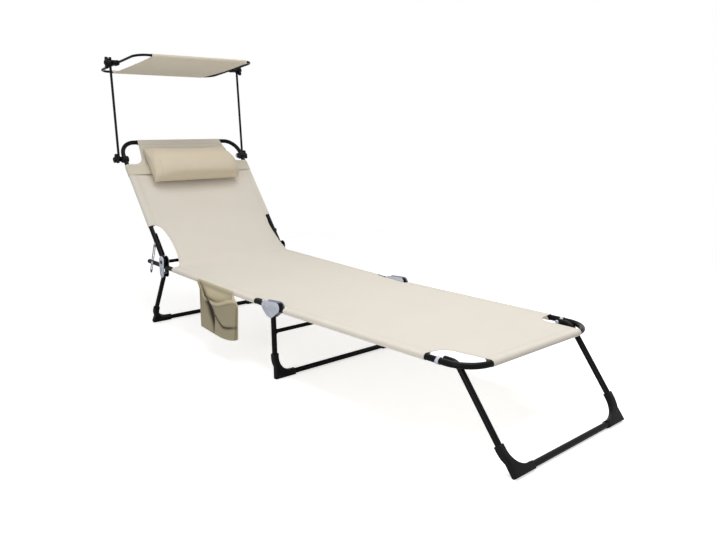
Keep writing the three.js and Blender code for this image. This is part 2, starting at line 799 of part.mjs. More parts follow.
function buildStraps(back) {
  const guide = point(guideX() - backPivotX, 0, -backPivotLift);
  guide.applyAxisAngle(turnAxis, -radians(backAngle - seatTilt));
  const turn = -Math.atan2(guide.z, guide.x + strapRadius);
  const inner = tubeRadius + strapClearance;
  const outer = inner + strapThickness;
  const backingFace = tubeRadius + fitGap;
  for (const [hand, side] of Object.entries(hands)) {
    const outline = hullOutline([[0, 0, strapHalfWidth], [strapReach, 0, strapHalfWidth]]);
    outline.holes.push(roundHole(0, 0, boreGap), strapSlot());
    const strap = slab(outline, side * (halfSpan + inner), side * (halfSpan + outer));
    const group = hinged(back, -strapRadius, 0, THREE.MathUtils.radToDeg(turn));
    addPiece(group, `recline_strap_${hand}`, strap, "zinc");
    const backing = hullOutline([
      [-backingEnd, 0, backingHalfWidth],
      [-backingStart, 0, backingHalfWidth],
    ]);
    backing.holes.push(roundHole(-strapRadius, 0, boreGap));
    const plate = slab(
      backing,
      side * (halfSpan - backingFace),
      side * (halfSpan - backingFace - backingThickness),
    );
    addPiece(back, `strap_backing_${hand}`, plate, "paint");
    const pivot = rivet(
      -strapRadius, 0,
      side * (halfSpan - backingFace - backingThickness - rivetHeadHeight),
      side * (halfSpan + outer + rivetHeadHeight),
    );
    addPiece(back, `strap_rivet_${hand}`, pivot, "zinc");
  }
}

// A cushion with a crowned front, a flatter back and sides drawn in between its corners
function buildPillow(back) {
  const group = hinged(back, 0, 0, 0);
  const half = (pillowEnd - pillowStart) / 2;
  const cushion = new THREE.BoxGeometry(2, 2, 2, pillowSteps, 2 * pillowSteps, 2);
  const places = cushion.attributes.position;
  const rest = sleeveOuter + bandThickness + 2 * fitGap;
  for (let i = 0; i < places.count; i += 1) {
    const [u, v, t] = [places.getX(i), places.getY(i), places.getZ(i)];
    const puff = Math.sqrt((1 - u ** 4) * (1 - v ** 4));
    const seam = pillowHeight * pillowBackShare * (1 - puff);
    const thick = pillowHeight * (pillowSeamShare + (1 - pillowSeamShare) * puff) - seam;
    const x = half * u * (1 - pillowDrawShare * (1 - v * v));
    const y = pillowHalfWidth * v * (1 - (pillowDrawShare / 2) * (1 - u * u));
    places.setXYZ(i, x, y, rest + seam + (thick * (t + 1)) / 2);
  }
  cushion.translate(-(pillowStart + pillowEnd) / 2, 0, 0);
  addPiece(group, "pillow", cushion, "cloth");
  const ends = (radius) => [[halfSpan, 0, radius], [-halfSpan, 0, radius]];
  const bandInner = sleeveOuter + fitGap;
  const loop = hullOutline(ends(bandInner + bandThickness));
  loop.holes.push(hullOutline(ends(bandInner)));
  addPiece(group, "pillow_band", alongX(loop, -bandEnd, -bandStart), "cloth");
}

function buildCanopyArms(back) {
  const arms = hinged(back, -armPivotX, -armPivotDrop, -(backAngle + armLean));
  const armY = halfSpan + armOffset;
  for (const [hand, side] of Object.entries(hands)) {
    const y = side * armY;
    const eyes = [];
    const bores = [];
    for (const z of [0, armLength]) {
      eyes.push(crossPin(armEyeRadius, 0, z, y - armRadius, y + armRadius));
      bores.push(crossPin(studRadius + fitGap, 0, z, y - 2 * armRadius, y + 2 * armRadius));
    }
    const rod = bar([point(0, y, 0), point(0, y, armLength)], armRadius, smallFacets);
    addPiece(arms, `canopy_arm_${hand}`, cut(join(rod, ...eyes), ...bores), "paint");
    addPiece(back, `canopy_clamp_${hand}`, clampBlock(side), "plastic");
    const lower = hinged(back, -armPivotX, -armPivotDrop, 0);
    addKnob(lower, `clamp_knob_${hand}`, side, lowerKnobReach, lowerStudLength);
  }
  buildCanopy(arms);
}

// A clamp round the back tube, with an ear behind it for the arm's stud
function clampBlock(side) {
  const y = side * halfSpan;
  const outline = hullOutline([
    [-armPivotX, -armPivotDrop, clampEarRadius],
    [-clampX, 0, clampRadius],
  ]);
  outline.holes.push(roundHole(-armPivotX, -armPivotDrop, studRadius + fitGap));
  const block = slab(outline, y - clampHalfDepth, y + clampHalfDepth);
  return cut(block, sleeve(-backLength, -bandEnd, y, 0, sleeveInner));
}

// A three-lobed hand knob on a stud that points inward
function addKnob(group, name, side, reach, studLength) {
  const lobes = new THREE.Shape();
  const count = 4 * roundFacets;
  for (let i = 0; i < count; i += 1) {
    const angle = (2 * Math.PI * i) / count;
    const radius = knobWaist + (reach - knobWaist) * ((1 + Math.cos(3 * angle)) / 2) ** 2;
    const [x, z] = [radius * Math.cos(angle), radius * Math.sin(angle)];
    i === 0 ? lobes.moveTo(x, z) : lobes.lineTo(x, z);
  }
  const wing = slab(lobes, 0, knobThickness, knobBevel);
  const hub = turned([
    [0, -studLength],
    [studRadius, -studLength],
    [studRadius, 0],
    [knobHubRadius, 0],
    [knobHubRadius, knobHubHeight - knobBevel],
    [knobHubRadius - knobBevel, knobHubHeight],
    [0, knobHubHeight],
  ], 0, 0);
  const knob = addPiece(group, name, join(wing, hub), "plastic");
  knob.position.y = side * (halfSpan + armOffset + armRadius + knobGap);
  knob.rotation.z = side > 0 ? 0 : Math.PI;
}

// The path of a bow whose two ends stop short of the canopy's middle
function bowPath(end, stop) {
  return bentStations([
    point(end * stop, canopyHalfWidth, 0),
    point(end * canopyHalfLength, canopyHalfWidth, 0),
    point(end * canopyHalfLength, -canopyHalfWidth, 0),
    point(end * stop, -canopyHalfWidth, 0),
  ], [canopyCornerRadius, canopyCornerRadius]);
}

function buildCanopy(arms) {
  const canopy = hinged(arms, 0, armLength, armLean - canopyTilt);
  const ends = { front: 1, rear: -1 };
  const sleeveHollow = bowRadius + fitGap;
  const sleeveSkin = sleeveHollow + clothThickness;
  const across = 2 * coverHalfWidth;
  const sheet = new THREE.BoxGeometry(
    2 * canopyHalfLength, across, clothThickness, clothSteps, clothSteps - 2, 1,
  );
  sheet.translate(0, 0, sleeveSkin - clothThickness / 2);
  const places = sheet.attributes.position;
  for (let i = 0; i < places.count; i += 1) {
    const slack = 1 - (places.getX(i) / canopyHalfLength) ** 2;
    places.setY(i, places.getY(i) * (1 - coverWaistShare * slack));
    places.setZ(i, places.getZ(i) - coverSag * slack);
  }
  const skins = [];
  const hollows = [];
  for (const [name, end] of Object.entries(ends)) {
    const bow = bar(bowPath(end, bowEnd), bowRadius, smallFacets);
    addPiece(canopy, `canopy_bow_${name}`, bow, "paint");
    const x = end * canopyHalfLength;
    const run = [point(x, -coverHalfWidth, 0), point(x, coverHalfWidth, 0)];
    skins.push(bar(run, sleeveSkin, smallFacets));
    hollows.push(bar(bowPath(end, bowEnd - fitGap), sleeveHollow, smallFacets));
  }
  addPiece(canopy, "canopy_cover", cut(join(sheet, ...skins), ...hollows), "shade");
  for (const [hand, side] of Object.entries(hands)) {
    const outline = hullOutline([
      [jointRadius - jointHalfLength, 0, jointRadius],
      [jointHalfLength - jointRadius, 0, jointRadius],
    ]);
    const outer = halfSpan + armOffset - armRadius - knobGap;
    const block = slab(outline, side * jointInner, side * outer);
    const knobFace = halfSpan + armOffset + armRadius + knobGap;
    const studEnd = knobFace - upperStudLength - fitGap;
    const bore = crossPin(studRadius + fitGap, 0, 0, side * studEnd, side * knobFace);
    addPiece(canopy, `canopy_joint_${hand}`, cut(block, ...hollows, bore), "plastic");
    const upper = hinged(canopy, 0, 0, 0);
    addKnob(upper, `canopy_knob_${hand}`, side, upperKnobReach, upperStudLength);
  }
}

const lounger = new THREE.Group();
const seat = buildSeat(lounger);
buildRearLeg(seat);
buildMiddleLeg(seat);
buildFoot(seat);
buildBack(seat);

// The origin stands on the floor under the middle of the whole
const extent = new THREE.Box3().setFromObject(lounger, true);
lounger.position.x = -(extent.min.x + extent.max.x) / 2;

export default lounger;
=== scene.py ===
"""A folding sun lounger with a canopy: black bent tubes, zinc hinges and a cream sling.

The sitter's feet point along +X, the right hand is the -Y side, and all lengths are in metres.
"""

import json
import math

import bmesh
import bpy
from mathutils import Matrix, Vector


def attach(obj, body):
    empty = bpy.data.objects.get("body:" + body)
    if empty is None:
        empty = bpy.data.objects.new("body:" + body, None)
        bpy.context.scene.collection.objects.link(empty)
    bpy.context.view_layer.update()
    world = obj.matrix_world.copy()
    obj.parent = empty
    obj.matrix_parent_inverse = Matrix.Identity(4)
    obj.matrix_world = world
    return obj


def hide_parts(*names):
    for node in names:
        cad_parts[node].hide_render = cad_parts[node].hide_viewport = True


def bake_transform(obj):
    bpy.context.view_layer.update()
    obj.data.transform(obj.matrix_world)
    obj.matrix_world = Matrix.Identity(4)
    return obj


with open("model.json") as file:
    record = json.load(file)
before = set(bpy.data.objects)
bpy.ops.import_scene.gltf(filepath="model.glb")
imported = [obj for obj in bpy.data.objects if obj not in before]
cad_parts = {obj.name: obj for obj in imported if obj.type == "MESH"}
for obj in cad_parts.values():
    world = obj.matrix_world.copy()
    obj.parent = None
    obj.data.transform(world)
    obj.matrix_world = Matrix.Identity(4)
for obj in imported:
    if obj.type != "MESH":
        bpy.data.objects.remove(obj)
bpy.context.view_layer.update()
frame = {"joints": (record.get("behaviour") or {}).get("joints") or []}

# Sizes of the real parts, and angles in degrees
HALF_SPAN = 0.26
TUBE = 0.008
FIT = 0.0003
CLOTH = 0.0011
SLEEVE = TUBE + FIT + CLOTH
PLATE_GAP = 0.0018
PLATE = 0.0015
RIVET = 0.003
RIVET_HEAD = 0.0055
RIVET_DOME = 0.0022
FLOOR_HALF = 0.0098
LEG_BEND = 0.06
SEAT_TILT = 1.53
BACK_ANGLE = 52.5
FOOT_TILT = -0.37
ARMS_LEAN = -4.5
CANOPY_LEAN = -8
REAR_LEG_LEAN = 32
MIDDLE_LEG_LEAN = -2
FRONT_LEG_LEAN = -37.5
HINGE_IN_SEAT = Vector((-0.014, 0, 0.017))
FOOT_LEVEL = -0.0096
SEAT_RAIL = (-0.128, 0.638)
RAIL_RIVETS = (-0.021, -0.007, 0.613, 0.631)
BACK_LENGTH = 0.52
FOOT_LENGTH = 0.712
GUIDE_PIN_X = -0.08705
STRAP_RIVET = 0.075
STRAP = 0.0016
STRAP_GAP = 0.0006
FRONT_LEG_HALF_SPAN = 0.24
FRONT_LEG_CLIP_X = 0.619
CANOPY_ROD = 0.0045
CANOPY_ARM_LENGTH = 0.354
CANOPY_HALF_LENGTH = 0.165
BOW_HALF_SPAN = 0.25
BACK_SLEEVE = (0.147, 0.416)
SEAT_SLEEVE = (0.057, 0.562)

# The sign of y on each side
HANDS = {"left": 1, "right": -1}

pivots = {joint["name"]: joint.get("pos_m") for joint in frame["joints"]}


def section(pivot, degrees):
    """The place of a section of the lounger: its hinge, and its turn about the cross axis."""
    return Matrix.Translation(Vector(pivot)) @ Matrix.Rotation(math.radians(degrees), 4, "Y")


seat_turn = Matrix.Rotation(math.radians(SEAT_TILT), 4, "Y")
seat_place = Matrix.Translation(Vector(pivots["back_recline"]) - seat_turn @ HINGE_IN_SEAT) @ seat_turn
back_place = section(pivots["back_recline"], BACK_ANGLE)
foot_place = section(pivots["footrest_fold"], FOOT_TILT)
arms_place = section(pivots["canopy_arms_tilt"], ARMS_LEAN)
canopy_place = section(pivots["canopy_tilt"], CANOPY_LEAN)
rear_leg_place = section(pivots["rear_leg_fold"], REAR_LEG_LEAN)
middle_leg_place = section(pivots["middle_leg_fold"], MIDDLE_LEG_LEAN)
front_leg_place = section(pivots["front_leg_fold"], FRONT_LEG_LEAN)
strap_pivot = Vector(pivots["strap_left_swing"])
to_guide = seat_place @ Vector((GUIDE_PIN_X, 0, 0)) - strap_pivot
strap_place = section(strap_pivot, math.degrees(-math.atan2(to_guide.z, to_guide.x)))


# The finishes


class Shade:
    """A number that varies over a surface. Arithmetic on it adds Math nodes to its finish."""

    def __init__(self, finish, socket):
        self.finish = finish
        self.socket = socket

    def math(self, operation, *values):
        sockets = dict(enumerate(values))
        return self.finish.node("ShaderNodeMath", {"operation": operation}, sockets)

    def __add__(self, other):
        return self.math("ADD", self, other)

    def __radd__(self, other):
        return self.math("ADD", other, self)

    def __sub__(self, other):
        return self.math("SUBTRACT", self, other)

    def __rsub__(self, other):
        return self.math("SUBTRACT", other, self)

    def __mul__(self, other):
        return self.math("MULTIPLY", self, other)

    def __rmul__(self, other):
        return self.math("MULTIPLY", other, self)

    def __lt__(self, other):
        return self.math("LESS_THAN", self, other)

    def __abs__(self):
        return self.math("ABSOLUTE", self)

    def wave(self, pitch):
        return self.math("SINE", self * (math.tau / pitch))


class Finish:
    """One procedural material on a Principled shader."""

    def __init__(self, name, **constants):
        self.material = bpy.data.materials.new(name)
        self.material.use_nodes = True
        self.tree = self.material.node_tree
        self.shader = self.tree.nodes["Principled BSDF"]
        for socket, value in constants.items():
            self.shader.inputs[socket.replace("_", " ")].default_value = value

    def node(self, kind, settings=None, sockets=None, output=0):
        """Adds one node: its settings first, then the values or links of its sockets."""
        made = self.tree.nodes.new(kind)
        for key, value in (settings or {}).items():
            setattr(made, key, value)
        for key, value in (sockets or {}).items():
            if isinstance(value, Shade):
                self.tree.links.new(value.socket, made.inputs[key])
            else:
                made.inputs[key].default_value = value
        return Shade(self, made.outputs[output])

    def place(self, scale=(1, 1, 1)):
        """Object coordinates, stretched by a scale for each axis."""
        at = self.node("ShaderNodeTexCoord", output="Object")
        return self.node("ShaderNodeMapping", sockets={"Vector": at, "Scale": scale})

    def grain(self, scale, at=None, detail=3.0, roughness=0.55):
        """Noise from 0 to 1, in features of one over scale metres."""
        sockets = {"Vector": at or self.place(), "Scale": scale, "Detail": detail, "Roughness": roughness}
        return self.node("ShaderNodeTexNoise", sockets=sockets)

    def blend(self, share, first, second):
        settings = {"data_type": "RGBA", "clamp_factor": True}
        return self.node("ShaderNodeMix", settings, {0: share, 6: first, 7: second}, output=2)

    def between(self, value, low, high):
        """Spreads a value from 0..1 to low..high, held inside them."""
        sockets = {"Value": value, "To Min": low, "To Max": high}
        return self.node("ShaderNodeMapRange", {"clamp": True}, sockets)

    def rises(self, value, low, high):
        """0 below low, 1 above high, and smooth between them."""
        sockets = {"Value": value, "From Min": low, "From Max": high}
        return self.node("ShaderNodeMapRange", {"interpolation_type": "SMOOTHSTEP"}, sockets)

    def bump(self, height, depth, strength=1.0):
        sockets = {"Height": height, "Distance": depth, "Strength": strength}
        return self.node("ShaderNodeBump", sockets=sockets)

    def feed(self, **sockets):
        for socket, value in sockets.items():
            self.tree.links.new(value.socket, self.shader.inputs[socket.replace("_", " ")])
        return self.material


def tint(*channels):
    """A colour written as the 0..255 values that it shows on screen."""
    linear = [((c / 255 + 0.055) / 1.055) ** 2.4 for c in channels]
    return (*linear, 1.0)


def powder_coat():
    """Satin black paint baked on steel: fine orange peel, faint dust and rubbed patches."""
    paint = Finish("black_powder_coat", Specular_IOR_Level=0.1)
    peel = paint.grain(2600, detail=2.0)
    cloud = paint.grain(14, detail=4.0)
    rubbed = paint.rises(paint.grain(60, detail=5.0), 0.6, 0.74)
    colour = paint.blend(cloud, tint(9, 9, 10), tint(14, 14, 15))
    colour = paint.blend(rubbed * 0.3, colour, tint(28, 28, 30))
    rough = paint.between(cloud, 0.24, 0.34) + rubbed * 0.07
    return paint.feed(Base_Color=colour, Roughness=rough, Normal=paint.bump(peel, 0.00006, 0.5))


def zinc_plating(name="zinc_plating", dull=0.0, metal=0.55):
    """Bluish bright zinc on pressed steel: rolling lines, scuffs and a dull bloom. With dull, it
    is blended most of the way to a dark grey all over."""
    zinc = Finish(name, Metallic=metal, Specular_IOR_Level=0.6 * metal)
    rolled = zinc.grain(220, at=zinc.place((0.12, 1, 1)), detail=4.0)
    bloom = zinc.grain(70, detail=5.0)
    scuffs = zinc.rises(zinc.grain(520, at=zinc.place((0.2, 1, 0.6)), detail=6.0), 0.6, 0.68)
    colour = zinc.blend(bloom, tint(186, 191, 204), tint(204, 208, 217))
    colour = zinc.blend(rolled * 0.25, colour, tint(168, 172, 186))
    colour = zinc.blend(scuffs * 0.35, colour, tint(226, 228, 232))
    # With dull, the colour is blended most of the way to a dark grey all over.
    colour = zinc.blend(bloom * 0.2 + dull, colour, tint(62, 64, 68)) if dull else colour
    rough = zinc.between(bloom, 0.36, 0.52) - scuffs * 0.08
    dents = rolled * 0.6 + scuffs * -0.5
    return zinc.feed(Base_Color=colour, Roughness=rough, Normal=zinc.bump(dents, 0.00008, 0.6))


def moulded_plastic():
    """Black polypropylene with a spark-eroded mould texture and grey rubbed marks."""
    resin = Finish("moulded_plastic", Specular_IOR_Level=0.14)
    sockets = {"Vector": resin.place(), "Scale": 1500}
    pores = resin.node("ShaderNodeTexVoronoi", {"feature": "F1"}, sockets)
    cloud = resin.grain(35, detail=4.0)
    rubbed = resin.rises(resin.grain(150, detail=5.0), 0.6, 0.72)
    colour = resin.blend(cloud, tint(11, 11, 12), tint(18, 18, 19))
    colour = resin.blend(rubbed * 0.35, colour, tint(40, 40, 42))
    rough = resin.between(cloud, 0.46, 0.6)
    return resin.feed(Base_Color=colour, Roughness=rough, Normal=resin.bump(pores, 0.00005, 0.45))


# So far off that no seam is drawn: along the cloth, and across it
NO_BAR_SEAM = 9.0
NO_SIDE_SEAM = 1.0


def woven(name, light, deep, pitch=0.0013, seam=0.017, slant=None, fold_shade=0.0):
    """Plain-woven polyester. The cloth's own UV map holds its length and width in metres, or
    else the weave lies in a plane slanted about the cross axis. The seam across the cloth lies
    at the length that seam gives, the attribute stitch holds the distance from a side seam, and
    the groove along each seam gets painted shade. With folds set, the attribute fold holds
    painted shade that darkens creases and shaded walls."""
    cloth = Finish(name, Roughness=0.8, Specular_IOR_Level=0.25, Sheen_Weight=0.12, Sheen_Roughness=0.5)
    if slant is None:
        laid = cloth.node("ShaderNodeUVMap", {"uv_map": "cloth"})
    else:
        at = cloth.node("ShaderNodeTexCoord", output="Object")
        turn = (0, math.radians(-slant), 0)
        laid = cloth.node("ShaderNodeMapping", sockets={"Vector": at, "Rotation": turn})
    along = cloth.node("ShaderNodeSeparateXYZ", sockets={"Vector": laid})
    across = Shade(cloth, along.socket.node.outputs[1])
    knuckles = (across.wave(pitch) * along.wave(pitch)) * 0.5 + 0.5
    slubs = 0
    for stretch in ((6, 900, 1), (900, 6, 1)):
        at = cloth.node("ShaderNodeMapping", sockets={"Vector": laid, "Scale": stretch})
        slubs = cloth.grain(1, at=at, detail=2.0) * 0.5 + slubs
    cloud = cloth.grain(5, detail=4.0)
    stitch = cloth.node("ShaderNodeAttribute", {"attribute_name": "stitch"}, output="Fac")
    side_line = abs(stitch)
    line = side_line.math("MINIMUM", side_line, abs(abs(along) - seam))
    # The groove along each seam: a real dent in the bump, and painted shade in the colour.
    groove = 1 - cloth.rises(line, 0.0, 0.0022)
    dash_pitch = 0.0034
    dashes = cloth.rises((along + across).wave(dash_pitch), -0.55, -0.2)
    thread = (line < 0.0005) * dashes
    colour = cloth.blend(cloud, light, deep)
    colour = cloth.blend((1 - knuckles) * 0.13, colour, tint(120, 108, 86))
    colour = cloth.blend(slubs * 0.16, colour, tint(250, 246, 236))
    # Painted shade in the seams' grooves.
    colour = cloth.blend(groove * 0.22, colour, tint(140, 126, 100))
    colour = cloth.blend(thread * 0.6, colour, tint(243, 238, 224))
    # Painted shade from the attribute fold: creases and shaded walls are made darker.
    if fold_shade:
        crease = cloth.node("ShaderNodeAttribute", {"attribute_name": "fold"}, output="Fac")
        colour = cloth.blend(crease * fold_shade, colour, tint(52, 44, 28))
    ripples = cloth.grain(11, detail=1.5)
    relief = knuckles * 0.35 + slubs * 0.2 + thread * 0.7 + ripples * 3.0 - groove * 1.6
    return cloth.feed(Base_Color=colour, Normal=cloth.bump(relief, 0.00045, 0.55))


# Tools that shape the pieces


def finish_piece(bm, name, body, finish, slot, replaces=(), place=Matrix(), sharp=35, closed=True):
    """Turns a bmesh into a piece of the lounger that rides on a body."""
    if closed:
        bmesh.ops.remove_doubles(bm, verts=bm.verts, dist=2e-6)
        bmesh.ops.recalc_face_normals(bm, faces=bm.faces)
    bm.transform(place)
    mesh = bpy.data.meshes.new(name)
    bm.to_mesh(mesh)
    bm.free()
    mesh.polygons.foreach_set("use_smooth", [True] * len(mesh.polygons))
    mesh.set_sharp_from_angle(angle=math.radians(sharp))
    piece = bpy.data.objects.new(name, mesh)
    bpy.context.scene.collection.objects.link(piece)
    mesh.materials.append(finish)
    if body:
        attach(piece, body)
    if replaces:
        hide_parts(*replaces)
    return piece


def gathered(*parts):
    """Joins several bmeshes into one."""
    whole = bmesh.new()
    for part in parts:
        mesh = bpy.data.meshes.new("part")
        part.to_mesh(mesh)
        part.free()
        whole.from_mesh(mesh)
        bpy.data.meshes.remove(mesh)
    return whole


def handed(bm, side):
    """A shape drawn for the left side, mirrored where it is for the right."""
    if side < 0:
        bmesh.ops.scale(bm, vec=(1, -1, 1), verts=bm.verts)
        bmesh.ops.reverse_faces(bm, faces=bm.faces)
    return bm


def moved(bm, x=0.0, y=0.0, z=0.0):
    bmesh.ops.translate(bm, vec=(x, y, z), verts=bm.verts)
    return bm


def pick(geometry, kind):
    return [item for item in geometry if isinstance(item, kind)]


def run_on(bm, ring, step):
    """Extrudes an open ring of edges by a step and returns the new ring."""
    out = bmesh.ops.extrude_edge_only(bm, edges=ring)["geom"]
    fresh = set(pick(out, bmesh.types.BMVert))
    bmesh.ops.translate(bm, vec=step, verts=list(fresh))
    return [e for e in pick(out, bmesh.types.BMEdge) if e.verts[0] in fresh and e.verts[1] in fresh]


def close_end(bm, ring, heading, centre, rounding):
    """Closes a ring of edges with a slightly domed end."""
    radius = 0.0
    for share, rise in ((0.86, 0.55), (0.5, 0.35), (0.16, 0.1)):
        ring = run_on(bm, ring, heading * rounding * rise)
        centre = centre + heading * rounding * rise
        verts = list({v for e in ring for v in e.verts})
        reach = max((v.co - centre).length for v in verts)
        radius = radius or reach
        factor = radius * share / reach
        bmesh.ops.scale(bm, vec=(factor,) * 3, space=Matrix.Translation(-centre), verts=verts)
    bmesh.ops.edgeloop_fill(bm, edges=ring)


def tube(corners, bends, radius, sides=24, rounding=0.0015):
    """A round tube laid along its corners, with each corner bent to its own radius."""
    bm = bmesh.new()
    corners = [Vector(corner) for corner in corners]
    heading = (corners[1] - corners[0]).normalized()
    place = Matrix.Translation(corners[0]) @ heading.to_track_quat("Z", "Y").to_matrix().to_4x4()
    verts = bmesh.ops.create_circle(bm, radius=radius, segments=sides, matrix=place)["verts"]
    first = list({e for v in verts for e in v.link_edges})
    ring = first
    at = corners[0]
    for i, bend in enumerate(bends, 1):
        back = (corners[i - 1] - corners[i]).normalized()
        ahead = (corners[i + 1] - corners[i]).normalized()
        half = back.angle(ahead) / 2
        enter = corners[i] + back * (bend / math.tan(half))
        ring = run_on(bm, ring, enter - at)
        turn = math.pi - 2 * half
        spun = bmesh.ops.spin(
            bm,
            geom=ring + list({v for e in ring for v in e.verts}),
            cent=corners[i] + (back + ahead).normalized() * (bend / math.sin(half)),
            axis=(-back).cross(ahead).normalized(),
            angle=turn,
            steps=max(3, math.ceil(math.degrees(turn) / 7)),
        )
        ring = pick(spun["geom_last"], bmesh.types.BMEdge)
        at = corners[i] + ahead * (bend / math.tan(half))
    ring = run_on(bm, ring, corners[-1] - at)
    close_end(bm, first, -heading, corners[0], rounding)
    close_end(bm, ring, (corners[-1] - corners[-2]).normalized(), corners[-1], rounding)
    return bm


def bent_tube(left_half, bends, *sizes):
    """A tube bent alike on both sides, from the corners and bends of its left half."""
    right_half = [(x, -y, z) for x, y, z in reversed(left_half)]
    return tube(left_half + right_half, bends + bends[::-1], *sizes)


def thicken_outline(bm, depth, rounding, segments=4):
    """Gives a flat outline its depth towards +Y, and rounds the rims of both its faces."""
    made = bmesh.ops.extrude_face_region(bm, geom=list(bm.faces))["geom"]
    bmesh.ops.translate(bm, vec=(0, depth, 0), verts=pick(made, bmesh.types.BMVert))
    bmesh.ops.recalc_face_normals(bm, faces=bm.faces)
    rim = [e for e in bm.edges if {round(abs(f.normal.y)) for f in e.link_faces} == {0, 1}]
    bmesh.ops.bevel(
        bm, geom=rim, offset=rounding, segments=segments, profile=0.5, affect="EDGES", material=-1
    )


def turned(profile, x=0.0, z=0.0, steps=32):
    """A turned piece across the lounger, from pairs of radius and y."""
    bm = bmesh.new()
    verts = [bm.verts.new((radius, y, 0)) for radius, y in profile]
    edges = [bm.edges.new(pair) for pair in zip(verts, verts[1:])]
    bmesh.ops.spin(
        bm,
        geom=verts + edges,
        cent=(0, 0, 0),
        axis=(0, 1, 0),
        angle=math.tau,
        steps=steps,
        use_merge=True,
    )
    bmesh.ops.remove_doubles(bm, verts=bm.verts, dist=2e-6)
    return moved(bm, x, 0, z)


def dome(radius, base, height, steps=5):
    """The profile of a rivet's head from its rim to its top."""
    turns = [math.pi / 2 * k / steps for k in range(steps + 1)]
    return [(radius * math.cos(t), base + height * math.sin(t)) for t in turns]


def rivet(x, z, low, high, head=RIVET_HEAD, shank=RIVET):
    """A rivet with a domed head at each end, from y low to y high."""
    rise = RIVET_DOME * 0.7
    foot = RIVET_DOME * 0.3
    bottom, top = low + foot + rise, high - foot - rise
    under = [(radius, -y) for radius, y in reversed(dome(head, -low - rise, rise))]
    over = dome(head, high - rise, rise)
    stem = [(head, bottom), (shank, bottom), (shank, top), (head, top)]
    return turned(under + stem + over, x, z, 28)


def plate(discs, low, high, edge=0.0006, pressed=0.0, steps=40):
    """A stamped plate round discs of x, z and radius, from y low to y high. Its outer face may
    be pressed proud of its rim, towards +Y or -Y by the sign of pressed."""
    flat_rim, slope = 0.0022, 0.0011
    bm = bmesh.new()
    turn = Matrix.Rotation(math.pi / 2, 4, "X")
    for y in (low, high):
        for x, z, radius in discs:
            place = Matrix.Translation((x, y, z)) @ turn
            bmesh.ops.create_circle(bm, radius=radius, segments=steps, matrix=place)
    bmesh.ops.delete(bm, geom=list(bm.edges), context="EDGES_FACES")
    bmesh.ops.convex_hull(bm, input=list(bm.verts))
    bmesh.ops.delete(bm, geom=[v for v in bm.verts if not v.link_faces], context="VERTS")
    bmesh.ops.dissolve_limit(bm, angle_limit=math.radians(1), verts=list(bm.verts), edges=list(bm.edges))
    bmesh.ops.recalc_face_normals(bm, faces=bm.faces)
    rim = [e for e in bm.edges if len({round(abs(f.normal.y)) for f in e.link_faces}) == 2]
    bmesh.ops.bevel(bm, geom=rim, offset=edge, segments=3, profile=0.5, affect="EDGES", material=-1)
    if pressed:
        way = math.copysign(1, pressed)
        face = max(bm.faces, key=lambda f: f.calc_area() * (f.normal.y * way > 0.99))
        bmesh.ops.inset_individual(bm, faces=[face], thickness=flat_rim, depth=0.0)
        bmesh.ops.inset_individual(bm, faces=[face], thickness=slope, depth=abs(pressed))
    return bm


# Tubes, hinges and legs

# Each finish, with the material slot of the record that it fills
PAINT = (powder_coat(), "powder_coat")
ZINC = (zinc_plating(), "zinc_plate")
# A dull zinc for the strap, blended most of the way to a dark grey and less metallic.
DULL_ZINC = (zinc_plating("dull_zinc", dull=0.8, metal=0.1), "zinc_plate")
RESIN = (moulded_plastic(), "black_plastic")


def seat_rail(hand, side):
    """A straight seat tube, with its four rivets and the plug in its rear end."""
    y = side * HALF_SPAN
    rail = tube([(SEAT_RAIL[0] + 0.001, y, 0), (SEAT_RAIL[1], y, 0)], [], TUBE)
    finish_piece(rail, f"seat_tube_{hand}", "seat", *PAINT, [f"seat_rail_{hand}"], seat_place)
    grip = TUBE + PLATE_GAP + PLATE + RIVET_DOME
    holders = [rivet(x, 0, y - grip, y + grip) for x in RAIL_RIVETS]
    finish_piece(gathered(*holders), f"rail_rivets_{hand}", "seat", *ZINC, (), seat_place)
    skirt = [(0, 0), (0.0062, 0), (0.0083, 0.001), (0.0083, 0.0038), (0.0079, 0.004)]
    profile = skirt + dome(0.0079, 0.0053, 0.0022)
    plug = turned([(radius, -depth) for radius, depth in profile])
    turn = Matrix.Rotation(-math.pi / 2, 4, "Z")
    plug.transform(Matrix.Translation((SEAT_RAIL[0] + 0.0062, y, 0)) @ turn)
    finish_piece(plug, f"rail_plug_{hand}", "seat", *RESIN, (), seat_place)


def guide_pin(hand, side):
    """The pin on the rail's stub that the recline strap slides over, with its washer."""
    low = HALF_SPAN - TUBE - RIVET_DOME
    high = HALF_SPAN + TUBE + STRAP_GAP + STRAP + RIVET_DOME
    under, over = high - 0.0027, high - 0.0021
    pin = rivet(GUIDE_PIN_X, 0, low, high)
    washer = turned([(RIVET, under), (0.0068, under), (0.0068, over), (RIVET, over)], GUIDE_PIN_X)
    whole = handed(gathered(pin, washer), side)
    finish_piece(whole, f"guide_pin_{hand}", "seat", *ZINC, [f"strap_guide_pin_{hand}"], seat_place)


# The rounded corners of the hinge plates: x, z and radius
REAR_DISCS = [(-0.014, -0.026, 0.014), (-0.014, 0.022, 0.017)]
MIDDLE_DISCS = [
    (0.622, 0, 0.0165),
    (0.636, -0.0180, 0.011),
    (0.650, -0.0187, 0.013),
    (0.676, 0.005, 0.0165),
]


